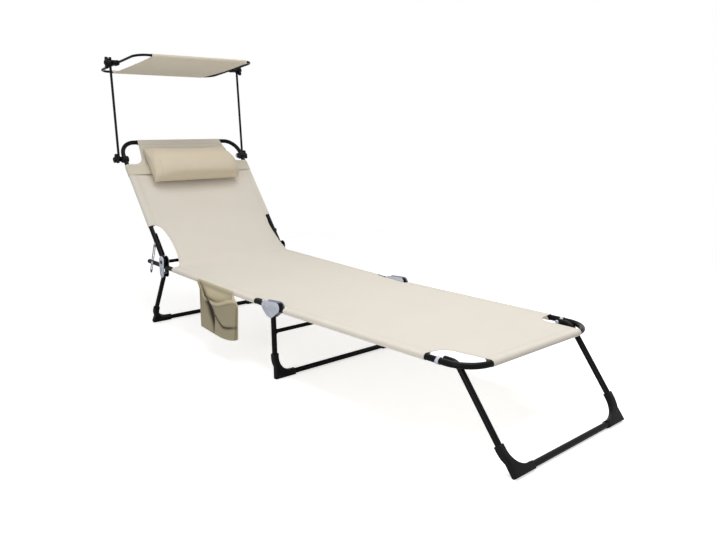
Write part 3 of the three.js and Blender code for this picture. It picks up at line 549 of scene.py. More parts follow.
def hinge_plates(hand, side):
    """The two stamped plates of each hinge, with pressed faces, and the black liners between
    the rear plates and the rail."""
    for hinge, discs in (("rear", REAR_DISCS), ("middle", MIDDLE_DISCS)):
        for face, way in (("outer", 1), ("inner", -1)):
            near = HALF_SPAN + way * (TUBE + PLATE_GAP)
            far = near + way * PLATE
            body = plate(discs, min(near, far), max(near, far), pressed=way * 0.0006)
            node = f"{hinge}_hinge_plate_{face}_{hand}"
            name = f"{hinge}_plate_{face}_{hand}"
            finish_piece(handed(body, side), name, "seat", *ZINC, [node], seat_place)
    low, high = TUBE + FIT, TUBE + PLATE_GAP - 0.0001
    discs = [(x, z, radius - 0.0006) for x, z, radius in REAR_DISCS]
    outer = plate(discs, HALF_SPAN + low, HALF_SPAN + high, 0.0003)
    inner = plate(discs, HALF_SPAN - high, HALF_SPAN - low, 0.0003)
    liners = handed(gathered(outer, inner), side)
    finish_piece(liners, f"rear_liners_{hand}", "seat", *RESIN, (), seat_place)


def hinge_rivets(hand, side):
    """The pins that the rear leg, the footrest and the middle leg turn on."""
    grip = TUBE + PLATE_GAP + PLATE + RIVET_DOME
    y = side * HALF_SPAN
    for name, x, z in (
        ("rear_leg", -0.014, -0.026),
        ("foot_hinge", 0.676, 0.0096),
        ("middle_leg", 0.650, -0.019),
    ):
        pin = rivet(x, z, y - grip, y + grip)
        finish_piece(pin, f"{name}_pin_{hand}", "seat", *ZINC, [f"{name}_rivet_{hand}"], seat_place)


def back_axle():
    """The crossbar that the backrest turns on, necked down where it passes its plates."""
    bar, neck, head = 0.006, 0.004, 0.007
    shoulder = HALF_SPAN - TUBE - PLATE_GAP - PLATE - FIT
    tip = HALF_SPAN + TUBE + PLATE_GAP + PLATE + FIT
    half = [(bar, shoulder - 0.0012), (0.0048, shoulder), (neck, shoulder), (neck, tip), (head, tip)]
    half += dome(head, tip + 0.0006, RIVET_DOME - 0.0006)
    profile = [(radius, -y) for radius, y in reversed(half)] + half
    axle = turned(profile, HINGE_IN_SEAT.x, HINGE_IN_SEAT.z)
    finish_piece(axle, "back_axle", "seat", *PAINT, ["back_hinge_axle"], seat_place)


class Pencil:
    """Draws a flat outline in x and z from one vertex, with straight runs and round bends."""

    def __init__(self, bm, x, z):
        self.bm = bm
        self.at = bm.verts.new((x, 0, z))

    def to(self, x, z):
        made = bmesh.ops.extrude_vert_indiv(self.bm, verts=[self.at])["verts"][0]
        made.co = (x, 0, z)
        self.at = made
        return self

    def round(self, x, z, degrees, steps=8):
        """Bends round a centre; a positive turn goes from +x towards -z."""
        turn = math.radians(degrees)
        spun = bmesh.ops.spin(
            self.bm, geom=[self.at], cent=(x, 0, z), axis=(0, 1, 0), angle=turn, steps=steps
        )
        self.at = pick(spun["geom_last"], bmesh.types.BMVert)[0]
        return self


def foot_cap(above, corner, place):
    """A moulded cap that follows the bend at a leg's lower corner, with a heel that is cut flat
    on the floor."""
    up_leg, along_bar = 0.070, 0.072
    side = math.copysign(1, corner.y)
    up = Vector((side * (above.y - corner.y), 0, above.z - corner.z)).normalized()
    out = Vector((up.z, 0, -up.x))
    bisector = (up + Vector((-1, 0, 0))).normalized()
    centre = bisector * (LEG_BEND / math.sin(up.angle(bisector)))
    lean = math.degrees(math.atan2(up.x, up.z))
    heel = FLOOR_HALF - 0.008
    drop = math.degrees(math.acos((heel - centre.x) / (LEG_BEND + FLOOR_HALF)))
    start = up * up_leg - out * FLOOR_HALF
    top = up * up_leg + out * FLOOR_HALF
    begin = centre + out * (LEG_BEND + FLOOR_HALF)
    bm = bmesh.new()
    pen = Pencil(bm, start.x, start.z).to(top.x, top.z).to(begin.x, begin.z)
    pen.round(centre.x, centre.z, drop - lean, 6).to(heel, -FLOOR_HALF).to(-along_bar, -FLOOR_HALF)
    pen.to(-along_bar, FLOOR_HALF).to(centre.x, FLOOR_HALF).round(centre.x, centre.z, lean - 90, 12)
    pen.to(start.x, start.z)
    bmesh.ops.remove_doubles(bm, verts=bm.verts, dist=1e-5)
    bmesh.ops.edgeloop_fill(bm, edges=list(bm.edges))
    moved(bm, 0, -FLOOR_HALF, 0)
    thicken_outline(bm, 2 * FLOOR_HALF, 0.0044)
    bm.transform(place @ Matrix.Translation(corner) @ Matrix.Rotation(side * math.pi / 2, 4, "Z"))
    everything = [*bm.verts, *bm.edges, *bm.faces]
    cut = bmesh.ops.bisect_plane(
        bm, geom=everything, plane_co=(0, 0, 0), plane_no=(0, 0, -1), clear_outer=True
    )
    bmesh.ops.edgeloop_fill(bm, edges=pick(cut["geom_cut"], bmesh.types.BMEdge))
    return bm


def leg(name, place, left_half, bends, bar_drop=None):
    """One U-shaped leg: its bent tube, its two foot caps and, where it has one, its crossbar."""
    frame_tube = bent_tube(left_half, bends, TUBE)
    finish_piece(frame_tube, f"{name}_bent_tube", name, *PAINT, [f"{name}_tube"], place)
    for hand, side in HANDS.items():
        above, corner = (Vector((x, side * y, z)) for x, y, z in left_half[-2:])
        cap = foot_cap(above, corner, place)
        finish_piece(cap, f"{name}_cap_{hand}", name, *RESIN, [f"{name}_foot_{hand}"])
    if bar_drop:
        half = HALF_SPAN - TUBE + 0.002
        bar = tube([(0, half, -bar_drop), (0, -half, -bar_drop)], [], 0.006)
        bead_y = HALF_SPAN - TUBE - 0.0002
        beads = [weld(side * bead_y, -bar_drop, side) for side in HANDS.values()]
        brace = gathered(bar, *beads)
        finish_piece(brace, f"{name}_brace", name, *PAINT, [f"{name}_crossbar"], place)


def weld(y, z, side):
    """The painted weld bead round the end of a crossbar, with 14 ripples in it."""
    bead = ((0.006, -0.0032), (0.0071, -0.0026), (0.0078, -0.0012), (0.0081, 0.0008))
    bm = turned([(radius, y + side * out) for radius, out in bead], 0, z, 48)
    for v in bm.verts:
        ripple = 0.00022 * math.sin(14 * math.atan2(v.co.z - z, v.co.x))
        v.co.y -= side * ripple
    return bm


def legs():
    """The three legs, each down to the floor from its own hinge."""
    rear_foot_half, front_foot_half, arm = 0.2475, 0.236, 0.038

    def reach(joint, lean):
        return (Vector(pivots[joint]).z - FLOOR_HALF) / math.cos(math.radians(lean))

    rear_reach = reach("rear_leg_fold", REAR_LEG_LEAN)
    rear_half = [(0, HALF_SPAN, 0), (0, rear_foot_half, -rear_reach)]
    leg("rear_leg", rear_leg_place, rear_half, [LEG_BEND])
    middle_reach = reach("middle_leg_fold", MIDDLE_LEG_LEAN)
    middle_half = [(0, HALF_SPAN, 0), (0, HALF_SPAN, -middle_reach)]
    leg("middle_leg", middle_leg_place, middle_half, [LEG_BEND], bar_drop=0.056)
    front_reach = reach("front_leg_fold", FRONT_LEG_LEAN)
    lean = math.radians(FRONT_LEG_LEAN)
    arm_x, arm_z = arm * math.cos(lean), arm * math.sin(lean)
    front_half = [
        (0, FRONT_LEG_HALF_SPAN, 0),
        (arm_x, FRONT_LEG_HALF_SPAN, arm_z),
        (arm_x, front_foot_half, arm_z - front_reach),
    ]
    leg("front_leg", front_leg_place, front_half, [0.034, LEG_BEND])


def foot_rail():
    """The footrest's bent tube, with the lug on each end that its hinge's pin passes."""
    left_half = [(-0.006, HALF_SPAN, FOOT_LEVEL), (FOOT_LENGTH, HALF_SPAN, FOOT_LEVEL)]
    rail = bent_tube(left_half, [0.075], TUBE)
    discs = [(0, 0, 0.009), (0.004, FOOT_LEVEL, 0.008)]
    lugs = [plate(discs, y - TUBE, y + TUBE, 0.001) for y in (HALF_SPAN, -HALF_SPAN)]
    whole = gathered(rail, *lugs)
    finish_piece(whole, "foot_rail", "footrest", *PAINT, ["foot_frame"], foot_place)


def front_leg_clip(hand, side):
    """The zinc band that carries the front leg on the foot rail, and its rivet."""
    inner = TUBE + FIT
    outer = inner + 0.0012
    half = 0.0045
    ring = [
        (inner, -half),
        (outer - 0.0003, -half),
        (outer, -half + 0.0004),
        (outer, half - 0.0004),
        (outer - 0.0003, half),
        (inner, half),
        (inner, -half),
    ]
    band = turned(ring, steps=40)
    turn = Matrix.Rotation(math.pi / 2, 4, "Z")
    band.transform(Matrix.Translation((FRONT_LEG_CLIP_X, side * HALF_SPAN, FOOT_LEVEL)) @ turn)
    finish_piece(band, f"leg_clip_{hand}", "footrest", *ZINC, [f"front_leg_clip_{hand}"], foot_place)
    low = side * (FRONT_LEG_HALF_SPAN - TUBE - RIVET_DOME)
    high = side * (HALF_SPAN + outer + RIVET_DOME)
    pin = rivet(FRONT_LEG_CLIP_X, FOOT_LEVEL, min(low, high), max(low, high))
    finish_piece(pin, f"front_leg_pin_{hand}", "footrest", *ZINC, [f"front_leg_rivet_{hand}"], foot_place)


def back_tube():
    """The backrest's bent tube, with the eye on each end that its axle passes."""
    frame_tube = bent_tube([(0, HALF_SPAN, 0), (-BACK_LENGTH, HALF_SPAN, 0)], [0.06], TUBE)
    discs = [(0, 0, 0.008), (-0.004, 0, 0.008)]
    eyes = [plate(discs, y - TUBE, y + TUBE, 0.001) for y in (HALF_SPAN, -HALF_SPAN)]
    whole = gathered(frame_tube, *eyes)
    finish_piece(whole, "back_tube", "backrest", *PAINT, ["back_frame"], back_place)


def recline_strap(hand, side):
    """The flat strap with its notched slot, which props the backrest."""
    reach, half = 0.112, 0.007
    slot_start, slot_end, slot = 0.014, 0.105, 0.0033
    notches, notch_half = 5, 0.0016
    pitch = (slot_end - slot_start) / (notches + 1)
    notch_top = slot + 0.0019
    bm = bmesh.new()
    Pencil(bm, 0, half).to(reach, half).round(reach, 0, 180, 14).to(0, -half).round(0, 0, 180, 14)
    pencil = Pencil(bm, slot_start, slot)
    for notch in range(1, notches + 1):
        middle = slot_start + notch * pitch
        pencil.to(middle - slot, slot)
        pencil.to(middle - notch_half, notch_top).to(middle + notch_half, notch_top)
        pencil.to(middle + slot, slot)
    pencil.to(slot_end, slot).round(slot_end, 0, 180, 8)
    pencil.to(slot_start, -slot).round(slot_start, 0, 180, 8)
    bmesh.ops.remove_doubles(bm, verts=bm.verts, dist=1e-5)
    bmesh.ops.triangle_fill(bm, edges=list(bm.edges), use_beauty=True, use_dissolve=False)
    thicken_outline(bm, STRAP, 0.0003, 2)
    moved(bm, 0, HALF_SPAN + TUBE + STRAP_GAP, 0)
    strap, node = handed(bm, side), f"recline_strap_{hand}"
    finish_piece(strap, f"prop_strap_{hand}", f"strap_{hand}", *DULL_ZINC, [node], strap_place)


def strap_mount(hand, side):
    """The strap's rivet and the stiffener on the inner side of the back tube."""
    face, thickness = HALF_SPAN - TUBE - FIT, 0.0024
    discs = [(-0.112, 0, 0.0065), (-0.030, 0, 0.0065)]
    backing = handed(plate(discs, face - thickness, face, 0.0005), side)
    node = f"strap_backing_{hand}"
    finish_piece(backing, f"stiffener_{hand}", "backrest", *PAINT, [node], back_place)
    high = HALF_SPAN + TUBE + STRAP_GAP + STRAP + RIVET_DOME
    pin = handed(rivet(-STRAP_RIVET, 0, face - thickness - RIVET_DOME, high), side)
    finish_piece(pin, f"strap_pin_{hand}", "backrest", *ZINC, [f"strap_rivet_{hand}"], back_place)


# The canopy's frame


# Each pair of knobs: its lean, the reach of its lobes, its stud's length and its lobes' turn
KNOBS = (
    ("clamp", BACK_ANGLE, 0.021, 0.028, 90),
    ("canopy", CANOPY_LEAN, 0.024, 0.022, 60),
)


def lobed_knob(reach, stud):
    """A three-lobed hand knob with its hub, its screw boss and its stud, facing +Y."""
    waist, thickness = 0.009, 0.010
    bm = bmesh.new()
    turn = Matrix.Rotation(-math.pi / 2, 4, "X")
    ring = bmesh.ops.create_circle(bm, radius=1, segments=72, matrix=turn)["verts"]
    for v in ring:
        lobe = (1 + math.cos(3 * math.atan2(v.co.z, v.co.x))) / 2
        v.co *= waist + (reach - waist) * lobe**1.25
    bmesh.ops.edgeloop_fill(bm, edges=list(bm.edges))
    thicken_outline(bm, thickness, 0.0022)
    hub = [(0.0, -stud), (0.0027, -stud), (0.0027, 0.0), (0.0092, 0.0), (0.0092, 0.0135)]
    hub += [(0.0086, 0.0151), (0.0072, 0.016), (0.0052, 0.016), (0.0046, 0.0148), (0.0, 0.0146)]
    return gathered(bm, turned(hub))


def knob(name, place, side, reach, stud, turned_by):
    """One hand knob on its stud, a body of its own."""
    grip = lobed_knob(reach, stud)
    bmesh.ops.rotate(grip, matrix=Matrix.Rotation(math.radians(turned_by), 3, "Y"), verts=grip.verts)
    if side < 0:
        grip.transform(Matrix.Rotation(math.pi, 4, "Z"))
    finish_piece(grip, f"{name}_grip", name, *RESIN, [name], place)


def clamp(hand, side):
    """The moulded clamp round the back tube, with its raised rib and the pinch nut in its ear."""
    y = side * HALF_SPAN
    tube_x, ear_x, ear_z = -0.444, -0.455, -0.0145
    block = plate([(ear_x, ear_z, 0.0095), (tube_x, 0, 0.013)], y - 0.011, y + 0.011, 0.0018)
    rib = plate([(tube_x, 0, 0.0137), (-0.4445, -0.001, 0.0135)], y - 0.0035, y + 0.0035, 0.0006)
    whole = gathered(block, rib)
    finish_piece(whole, f"clamp_{hand}", "backrest", *RESIN, [f"canopy_clamp_{hand}"], back_place)
    profile = [(0.0, 0.0), (0.0052, 0.0), (0.0056, 0.0008), (0.0056, 0.0034)]
    profile += [(0.005, 0.004), (0.0031, 0.004), (0.0031, 0.0026), (0.0, 0.0026)]
    nut = turned(profile, steps=6)
    inwards = Matrix.Rotation(math.pi if side > 0 else 0, 4, "X")
    nut.transform(Matrix.Translation((ear_x, y - side * 0.0108, ear_z)) @ inwards)
    finish_piece(nut, f"clamp_nut_{hand}", "backrest", *ZINC, (), back_place)


def canopy_arm(hand, side):
    """A straight rod with a flat eye on each end, the upper one with a lug above it."""
    y = side * (HALF_SPAN + 0.016)
    low, high = y - CANOPY_ROD, y + CANOPY_ROD
    rod = tube([(0, y, 0), (0, y, CANOPY_ARM_LENGTH)], [], CANOPY_ROD, 20)
    lower = plate([(0, 0, 0.008), (0, 0.009, 0.0046)], low, high, 0.0008)
    discs = [(0, 0.345, 0.0046), (0, CANOPY_ARM_LENGTH, 0.008), (0.003, 0.371, 0.003)]
    upper = plate(discs, low, high, 0.0008)
    whole = gathered(rod, lower, upper)
    finish_piece(whole, f"arm_{hand}", "canopy_arms", *PAINT, [f"canopy_arm_{hand}"], arms_place)


def canopy_frame():
    """The two bows of the canopy, and the joint blocks that hold them on the arms."""
    for name, end in (("front", 1), ("rear", -1)):
        left_half = [(end * 0.003, BOW_HALF_SPAN, 0), (end * CANOPY_HALF_LENGTH, BOW_HALF_SPAN, 0)]
        bow = bent_tube(left_half, [0.042], CANOPY_ROD, 20, 0.0008)
        finish_piece(bow, f"bow_{name}", "canopy", *PAINT, [f"canopy_bow_{name}"], canopy_place)
    for hand, side in HANDS.items():
        near, far, rim = side * 0.2448, side * 0.2709, side * 0.252
        block = plate([(-0.007, 0, 0.009), (0.007, 0, 0.009)], min(near, far), max(near, far), 0.0016)
        collar = plate([(-0.0072, 0, 0.0097), (0.0072, 0, 0.0097)], rim - 0.002, rim + 0.002, 0.0006)
        joint = gathered(block, collar)
        finish_piece(joint, f"joint_{hand}", "canopy", *RESIN, [f"canopy_joint_{hand}"], canopy_place)


# The sling and the canopy's cover


def smooth(share):
    share = min(max(share, 0.0), 1.0)
    return share * share * (3 - 2 * share)


def lap(angle):
    """A place round a rail at an angle from its top: outwards, and up."""
    turn = math.radians(angle)
    return SLEEVE * math.sin(turn), SLEEVE * math.cos(turn)


FLAT_SHARES = [k / 12 for k in range(13)]
EDGE_STEPS = [0.020, 0.012, 0.007, 0.003, 0.0]
LAP_ANGLES = list(range(16, 225, 16)) + [226]
LAP_TURN = 3.95
TAILS = [0.243, 0.231]
TAIL_GAP = 0.00015
HINGE_SAG = -0.006
TOP_DRIFT = -0.0055
MEETING = 0.33
HINGE_HEM = 0.2475
ROW_STEP = 0.011
CORNER_EDGE = 0.195
CORNER_BEND = 0.042


def half_columns(row):
    """Places across half of the sling, from its middle to the end of its side lap. Each is the
    distance from the middle, the height over the rail's axis, the width used, and the distance
    from the side seam."""
    edge, sag, sleeved = row["edge"], row["sag"], row["sleeved"]
    line = 0.017 if sleeved else 0.007

    def top(y):
        return SLEEVE - sag * (1 - (y / HALF_SPAN) ** 2)

    inner = edge - 0.035
    flat = [inner * share for share in FLAT_SHARES] + [edge - step for step in EDGE_STEPS]
    places = [(y, top(y), y, edge - y - line) for y in flat]
    for angle in LAP_ANGLES:
        out, up = lap(angle)
        places.append((edge + out, up, edge + SLEEVE * math.radians(angle), NO_SIDE_SEAM))
    for tail in TAILS:
        lift = top(tail) - CLOTH - TAIL_GAP
        width = edge + SLEEVE * LAP_TURN + HALF_SPAN - tail
        places.append((tail, lift, width, NO_SIDE_SEAM))
    return places


def woven_sheet(rows, half, lapped=True):
    """A sheet of cloth with one line of points for each row. A row gives point(y, z), the place
    of a distance from the middle and a height; half(row) gives its columns."""
    table = [half(row) for row in rows]
    count = len(table[0])
    bm = bmesh.new()
    bmesh.ops.create_grid(bm, x_segments=len(rows) - 1, y_segments=2 * count - 2, size=1)
    warp = bm.loops.layers.uv.new("cloth")
    stitch = bm.verts.layers.float.new("stitch")
    length = 0.0
    marks = []
    for i, row in enumerate(rows):
        if i:
            ends = [r["point"](0.0, half(r)[0][1]) for r in rows[i - 1 : i + 1]]
            length += (ends[1] - ends[0]).length
        marks.append(length)
    zero = next((marks[i] for i, row in enumerate(rows) if row.get("bar")), 0.0)
    spots = {}
    for v in bm.verts:
        i = round((v.co.x + 1) / 2 * (len(rows) - 1))
        j = round((v.co.y + 1) / 2 * (2 * count - 2)) - count + 1
        y, z, width, gap = table[i][abs(j)]
        side = math.copysign(1, j)
        v.co = rows[i]["point"](side * y, z)
        v[stitch] = gap
        spots[v] = (i, j, marks[i] - zero, side * width)
    for face in bm.faces:
        for loop in face.loops:
            loop[warp].uv = spots[loop.vert][2:]
    free = [v for v, (i, j, *_) in spots.items() if rows[i].get("free") and abs(j) < len(FLAT_SHARES)]
    rounds = 120 if free else 0
    for _ in range(rounds):
        bmesh.ops.smooth_vert(bm, verts=free, factor=0.5, use_axis_x=True, use_axis_z=True)
    if lapped:
        loose = [
            f
            for f in bm.faces
            if max(abs(spots[v][1]) for v in f.verts) > count - 1 - len(LAP_ANGLES) - len(TAILS)
            and not all(rows[spots[v][0]]["sleeved"] for v in f.verts)
        ]
        bmesh.ops.delete(bm, geom=loose, context="FACES")
    return bm


def cloth_piece(bm, name, body, finish, slot, replaces, outward):
    """Turns a woven sheet so that its face looks outward, and makes it a piece. Returns the
    piece and the sheet's area."""
    bmesh.ops.recalc_face_normals(bm, faces=bm.faces)
    facing = sum((f.normal * f.calc_area() for f in bm.faces), Vector())
    if facing.dot(outward) < 0:
        bmesh.ops.reverse_faces(bm, faces=bm.faces)
    area = sum(f.calc_area() for f in bm.faces)
    piece = finish_piece(bm, name, None, finish, slot, replaces, closed=False)
    thicken_cloth(piece)
    if body:
        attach(piece, body)
    return piece, area


def thicken_cloth(piece, thickness=CLOTH):
    """Gives a sheet its thickness, behind the side that its faces look to."""
    skin = piece.modifiers.new("thickness", "SOLIDIFY")
    skin.thickness = thickness
    skin.offset = -1
    settle(piece)


def settle(piece, sharp=50):
    """Applies a piece's modifiers to its mesh."""
    ready = bpy.context.evaluated_depsgraph_get()
    mesh = bpy.data.meshes.new_from_object(piece.evaluated_get(ready))
    piece.modifiers.clear()
    piece.data = mesh
    mesh.set_sharp_from_angle(angle=math.radians(sharp))


def back_row(b, edge, sleeved=False, drift=0.0, **more):
    """A row of the sling on the back, at a distance from the hinge."""
    sag = 0.010 * math.sin(min(1.0, (BACK_LENGTH - b) / (BACK_LENGTH / 3)) * math.pi / 2)
    sag += (HINGE_SAG - sag) * smooth((0.32 - b) / (0.32 - BACK_SLEEVE[0]))
    return {
        "point": lambda y, z: back_place @ Vector((-b, y + drift, z)),
        "edge": edge,
        "sag": sag,
        "sleeved": sleeved,
        "free": b < 0.33,
        **more,
    }


def seat_row(x, edge, sleeved=False):
    """A row of the sling on the seat."""
    sag = HINGE_SAG + (0.009 - HINGE_SAG) * smooth((x - SEAT_SLEEVE[0]) / 0.16)
    return {
        "point": lambda y, z: seat_place @ Vector((x, y, z)),
        "edge": edge,
        "sag": sag,
        "sleeved": sleeved,
        "free": x < 0.22,
    }


def foot_row(x, edge, sleeved=False, **more):
    sag = 0.009 * math.sin(min(1.0, (FOOT_LENGTH - x) / (FOOT_LENGTH / 3)) * math.pi / 2)
    return {
        "point": lambda y, z: foot_place @ Vector((x, y, FOOT_LEVEL + z)),
        "edge": edge,
        "sag": sag,
        "sleeved": sleeved,
        **more,
    }


def bar_rows(place, x, level, way, edge, drift=0.0):
    """Rows that lap the cloth round a cross bar, from the end of its sewn tail to its top."""

    def row(dx, up, lifted):
        def point(y, z):
            height = z - CLOTH - TAIL_GAP if lifted else up
            return place @ Vector((x + dx, y + drift, level + height))

        return {"point": point, "edge": edge, "sag": 0.0018 if lifted else 0.0, "sleeved": False}

    rows = [row(-way * tail, 0, True) for tail in (0.030, 0.019)]
    for angle in reversed(LAP_ANGLES):
        out, up = lap(angle)
        rows.append(row(way * out, up, False))
    return rows


def scallop(place_of, start, way, inner, bend):
    """Rows that draw the cloth's edge in from a sleeve's end, as pairs of place and edge."""
    steps = 9
    shares = [k / steps for k in range(steps + 1)]
    pairs = [(start + way * (0.0004 + bend * t * t), inner + bend * (1 - t) ** 2) for t in shares]
    return [place_of(at, edge) for at, edge in pairs]


def spread(low, high, step):
    """Even places from low to high, both left out."""
    count = max(1, round(abs(high - low) / step))
    return [low + (high - low) * k / count for k in range(1, count)]


def hinge_bend(steps=26):
    """Rows where the sling hangs free of the tubes and cuts the corner over the back's hinge,
    drawn in at its hems and a little to the left."""
    hem, pull = 0.2585, 0.034
    rows = []
    upper = back_place @ Vector((-BACK_SLEEVE[0], 0, 0))
    lower = seat_place @ Vector((SEAT_SLEEVE[0], 0, 0))
    upper_pull = upper + back_place.to_3x3() @ Vector((0.016, 0, 0))
    lower_pull = lower - seat_place.to_3x3() @ Vector((0.012, 0, 0))
    for k in range(1, steps):
        t = (1 - math.cos(math.pi * k / steps)) / 2
        ways = (-((1 - t) ** 2), (1 - t) ** 2 - 2 * t * (1 - t), 2 * t * (1 - t) - t * t, t * t)
        shares = ((1 - t) ** 3, 3 * t * (1 - t) ** 2, 3 * t * t * (1 - t), t**3)
        places = (upper, upper_pull, lower_pull, lower)
        spot = sum((place * share for place, share in zip(places, shares)), Vector())
        heading = sum((place * way for place, way in zip(places, ways)), Vector()).normalized()
        normal = Vector((-heading.z, 0, heading.x))
        drawn = math.sin(math.pi * t**0.85) ** 0.6
        drift = Vector((0, 0.006 * drawn, 0))

        def point(y, z, spot=spot, normal=normal, drift=drift):
            return spot + normal * z + drift + Vector((0, y, 0))

        sag = HINGE_SAG - 0.012 * math.sin(math.pi * t)
        edge = hem - pull * drawn
        rows.append({"point": point, "edge": edge, "sag": sag, "sleeved": False, "free": True})
    return rows


def upper_rows():
    """The rows of the sling from the top bar to the middle of the seat."""
    top_edge = 0.182
    rows = bar_rows(back_place, -BACK_LENGTH, 0, -1, top_edge, TOP_DRIFT)
    rows.append(back_row(BACK_LENGTH, top_edge, drift=TOP_DRIFT, bar=True))
    for b in (0.516, 0.511, 0.504, 0.497, 0.490, 0.480, 0.470, 0.461):
        down = (BACK_LENGTH - b) / 0.068
        rows.append(back_row(b, top_edge + 0.013 * down, drift=TOP_DRIFT * max(0.0, 1 - down)))
    low, high = BACK_SLEEVE
    rows += scallop(back_row, high, 1, CORNER_EDGE, CORNER_BEND)[::-1]
    rows.append(back_row(high, HALF_SPAN, True))
    rows += [back_row(b, HALF_SPAN, True) for b in spread(high, low, ROW_STEP)]
    rows.append(back_row(low, HALF_SPAN, True))
    rows += hinge_bend()
    start = SEAT_SLEEVE[0]
    rows.append(seat_row(start, HALF_SPAN, True))
    rows += [seat_row(x, HALF_SPAN, True) for x in spread(start, MEETING, ROW_STEP)]
    rows.append(seat_row(MEETING, HALF_SPAN, True))
    return rows


def lower_rows():
    """The rows of the sling from the front bar to the middle of the seat."""
    front_edge, foot_hem = 0.186, HINGE_HEM - 0.002
    low, high = 0.032, 0.579
    rows = bar_rows(foot_place, FOOT_LENGTH, FOOT_LEVEL, 1, front_edge)
    rows.append(foot_row(FOOT_LENGTH, front_edge, bar=True))
    for x in (0.708, 0.703, 0.696, 0.689, 0.680, 0.670, 0.660, 0.650, 0.641, 0.631):
        rows.append(foot_row(x, front_edge + 0.009 * (FOOT_LENGTH - x) / 0.09))
    rows += scallop(foot_row, high, 1, CORNER_EDGE, CORNER_BEND)[::-1]
    rows.append(foot_row(high, HALF_SPAN, True))
    rows += [foot_row(x, HALF_SPAN, True) for x in spread(high, low, ROW_STEP)]
    rows.append(foot_row(low, HALF_SPAN, True))
    rows += scallop(foot_row, low, -1, foot_hem, 0.0125)
    rows.append(foot_row(0.0, foot_hem))
    for x in spread(0.664, 0.5764, ROW_STEP):
        rows.append(seat_row(x, HINGE_HEM + 0.004 * smooth((0.604 - x) / 0.02)))
    end = SEAT_SLEEVE[1]
    rows += scallop(seat_row, end, 1, HINGE_HEM + 0.004, 0.0065)[::-1]
    rows.append(seat_row(end, HALF_SPAN, True))
    rows += [seat_row(x, HALF_SPAN, True) for x in spread(end, MEETING, ROW_STEP)]
    rows.append(seat_row(MEETING, HALF_SPAN, True))
    return rows


def sling():
    """The sling in two lengths that meet across the middle of the seat."""
    cream = woven("cream_sling", tint(235, 228, 216), tint(228, 220, 207))
    sheet = woven_sheet(upper_rows(), half_columns)
    upward = Vector((0.3, 0, 1))
    upper, area = cloth_piece(sheet, "sling_upper", None, cream, "sling_cloth", ["back_cloth"], upward)
    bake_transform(upper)
    sheet = woven_sheet(lower_rows(), half_columns)
    nodes = ["seat_cloth", "foot_cloth"]
    lower, area = cloth_piece(
        sheet, "sling_lower", None, cream, "sling_cloth", nodes, Vector((0, 0, 1))
    )
    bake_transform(lower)


def canopy_cover():
    """The shade's one sheet. It passes under the front and rear bars, round them and back to a
    seam inside them, and lies a little to the left."""
    radius = CANOPY_ROD + FIT + CLOTH
    rows = []

    def row(x, z, span, slack=0.0, **more):
        right, left = span
        middle, half = (right + left) / 2, (left - right) / 2
        return {
            "point": lambda y, up: canopy_place @ Vector((x, middle + y, z + up)),
            "edge": half * (1 + 0.02 * slack),
            "slack": slack,
            **more,
        }

    def lapped(end, span):
        level = CLOTH + 0.0002 - radius
        made = [row(end * (CANOPY_HALF_LENGTH - reach), level, span) for reach in (0.022, 0.012)]
        for angle in range(-40, 159, 22):
            turn = math.radians(angle)
            x = end * (CANOPY_HALF_LENGTH + radius * math.sin(turn))
            made.append(row(x, radius * math.cos(turn), span))
        return made

    front, rear = (-0.191, 0.214), (-0.197, 0.201)
    hem, droop, halves = 0.008, 0.004, 12
    rows += lapped(1, front)
    for k in range(2 * halves + 1):
        u = 1 - k / halves
        slack = 1 - u * u
        span = [b + (a - b) * (1 + u) / 2 for a, b in zip(front, rear)]
        level = -radius - droop * slack
        rows.append(row(CANOPY_HALF_LENGTH * u, level, span, slack, bar=k == 0))
    rows += lapped(-1, rear)[::-1]

    def columns(row):
        edge = row["edge"]
        places = []
        for share in FLAT_SHARES:
            y = (edge - 0.020) * share
            flutter = 0.001 * row["slack"] * math.sin(9 * share * math.pi)
            places.append((y, flutter * share, y, edge - y - hem))
        for step in (0.012, 0.008, 0.004, 0.0):
            places.append((edge - step, 0.0, edge - step, step - hem))
        return places

    shade = woven("shade_cloth", tint(248, 239, 218), tint(240, 229, 207), seam=0.013)
    sheet = woven_sheet(rows, columns, lapped=False)
    downward = Vector((0, 0, -1))
    cover, area = cloth_piece(
        sheet, "canopy_sheet", "canopy", shade, "shade_cloth", ["canopy_cover"], downward
    )


# The pillow, its band and the side pocket


# The pillow's place and size on the back, and the places down the back of its band's edges
PILLOW_PLACE = -0.400
PILLOW_HALF_WIDTH = 0.079
PILLOW_HALF_LENGTH = 0.187
PILLOW_HEIGHT = 0.061
PILLOW_BASE = 0.0128
PILLOW_DRIFT = -0.004
BAND = (-0.408, -0.368)
BAND_THICKNESS = 0.0012


def pillow_shape(u, v, t):
    """A place on the pillow's bag: down the back, across it and through it, from -1 to 1. The
    filling has sunk to its lower edge."""
    round_end = math.sqrt(1 - 0.6 * abs(v) ** 8)
    round_side = math.sqrt(1 - 0.8 * abs(u) ** 4)
    height = PILLOW_HEIGHT * round_end * round_side * (0.40 + 0.60 * smooth((u + 1) / 1.3))
    x = PILLOW_PLACE + PILLOW_HALF_WIDTH * u
    y = PILLOW_HALF_LENGTH * v + PILLOW_DRIFT
    return Vector((x, y, PILLOW_BASE + height * (t + 1) / 2))


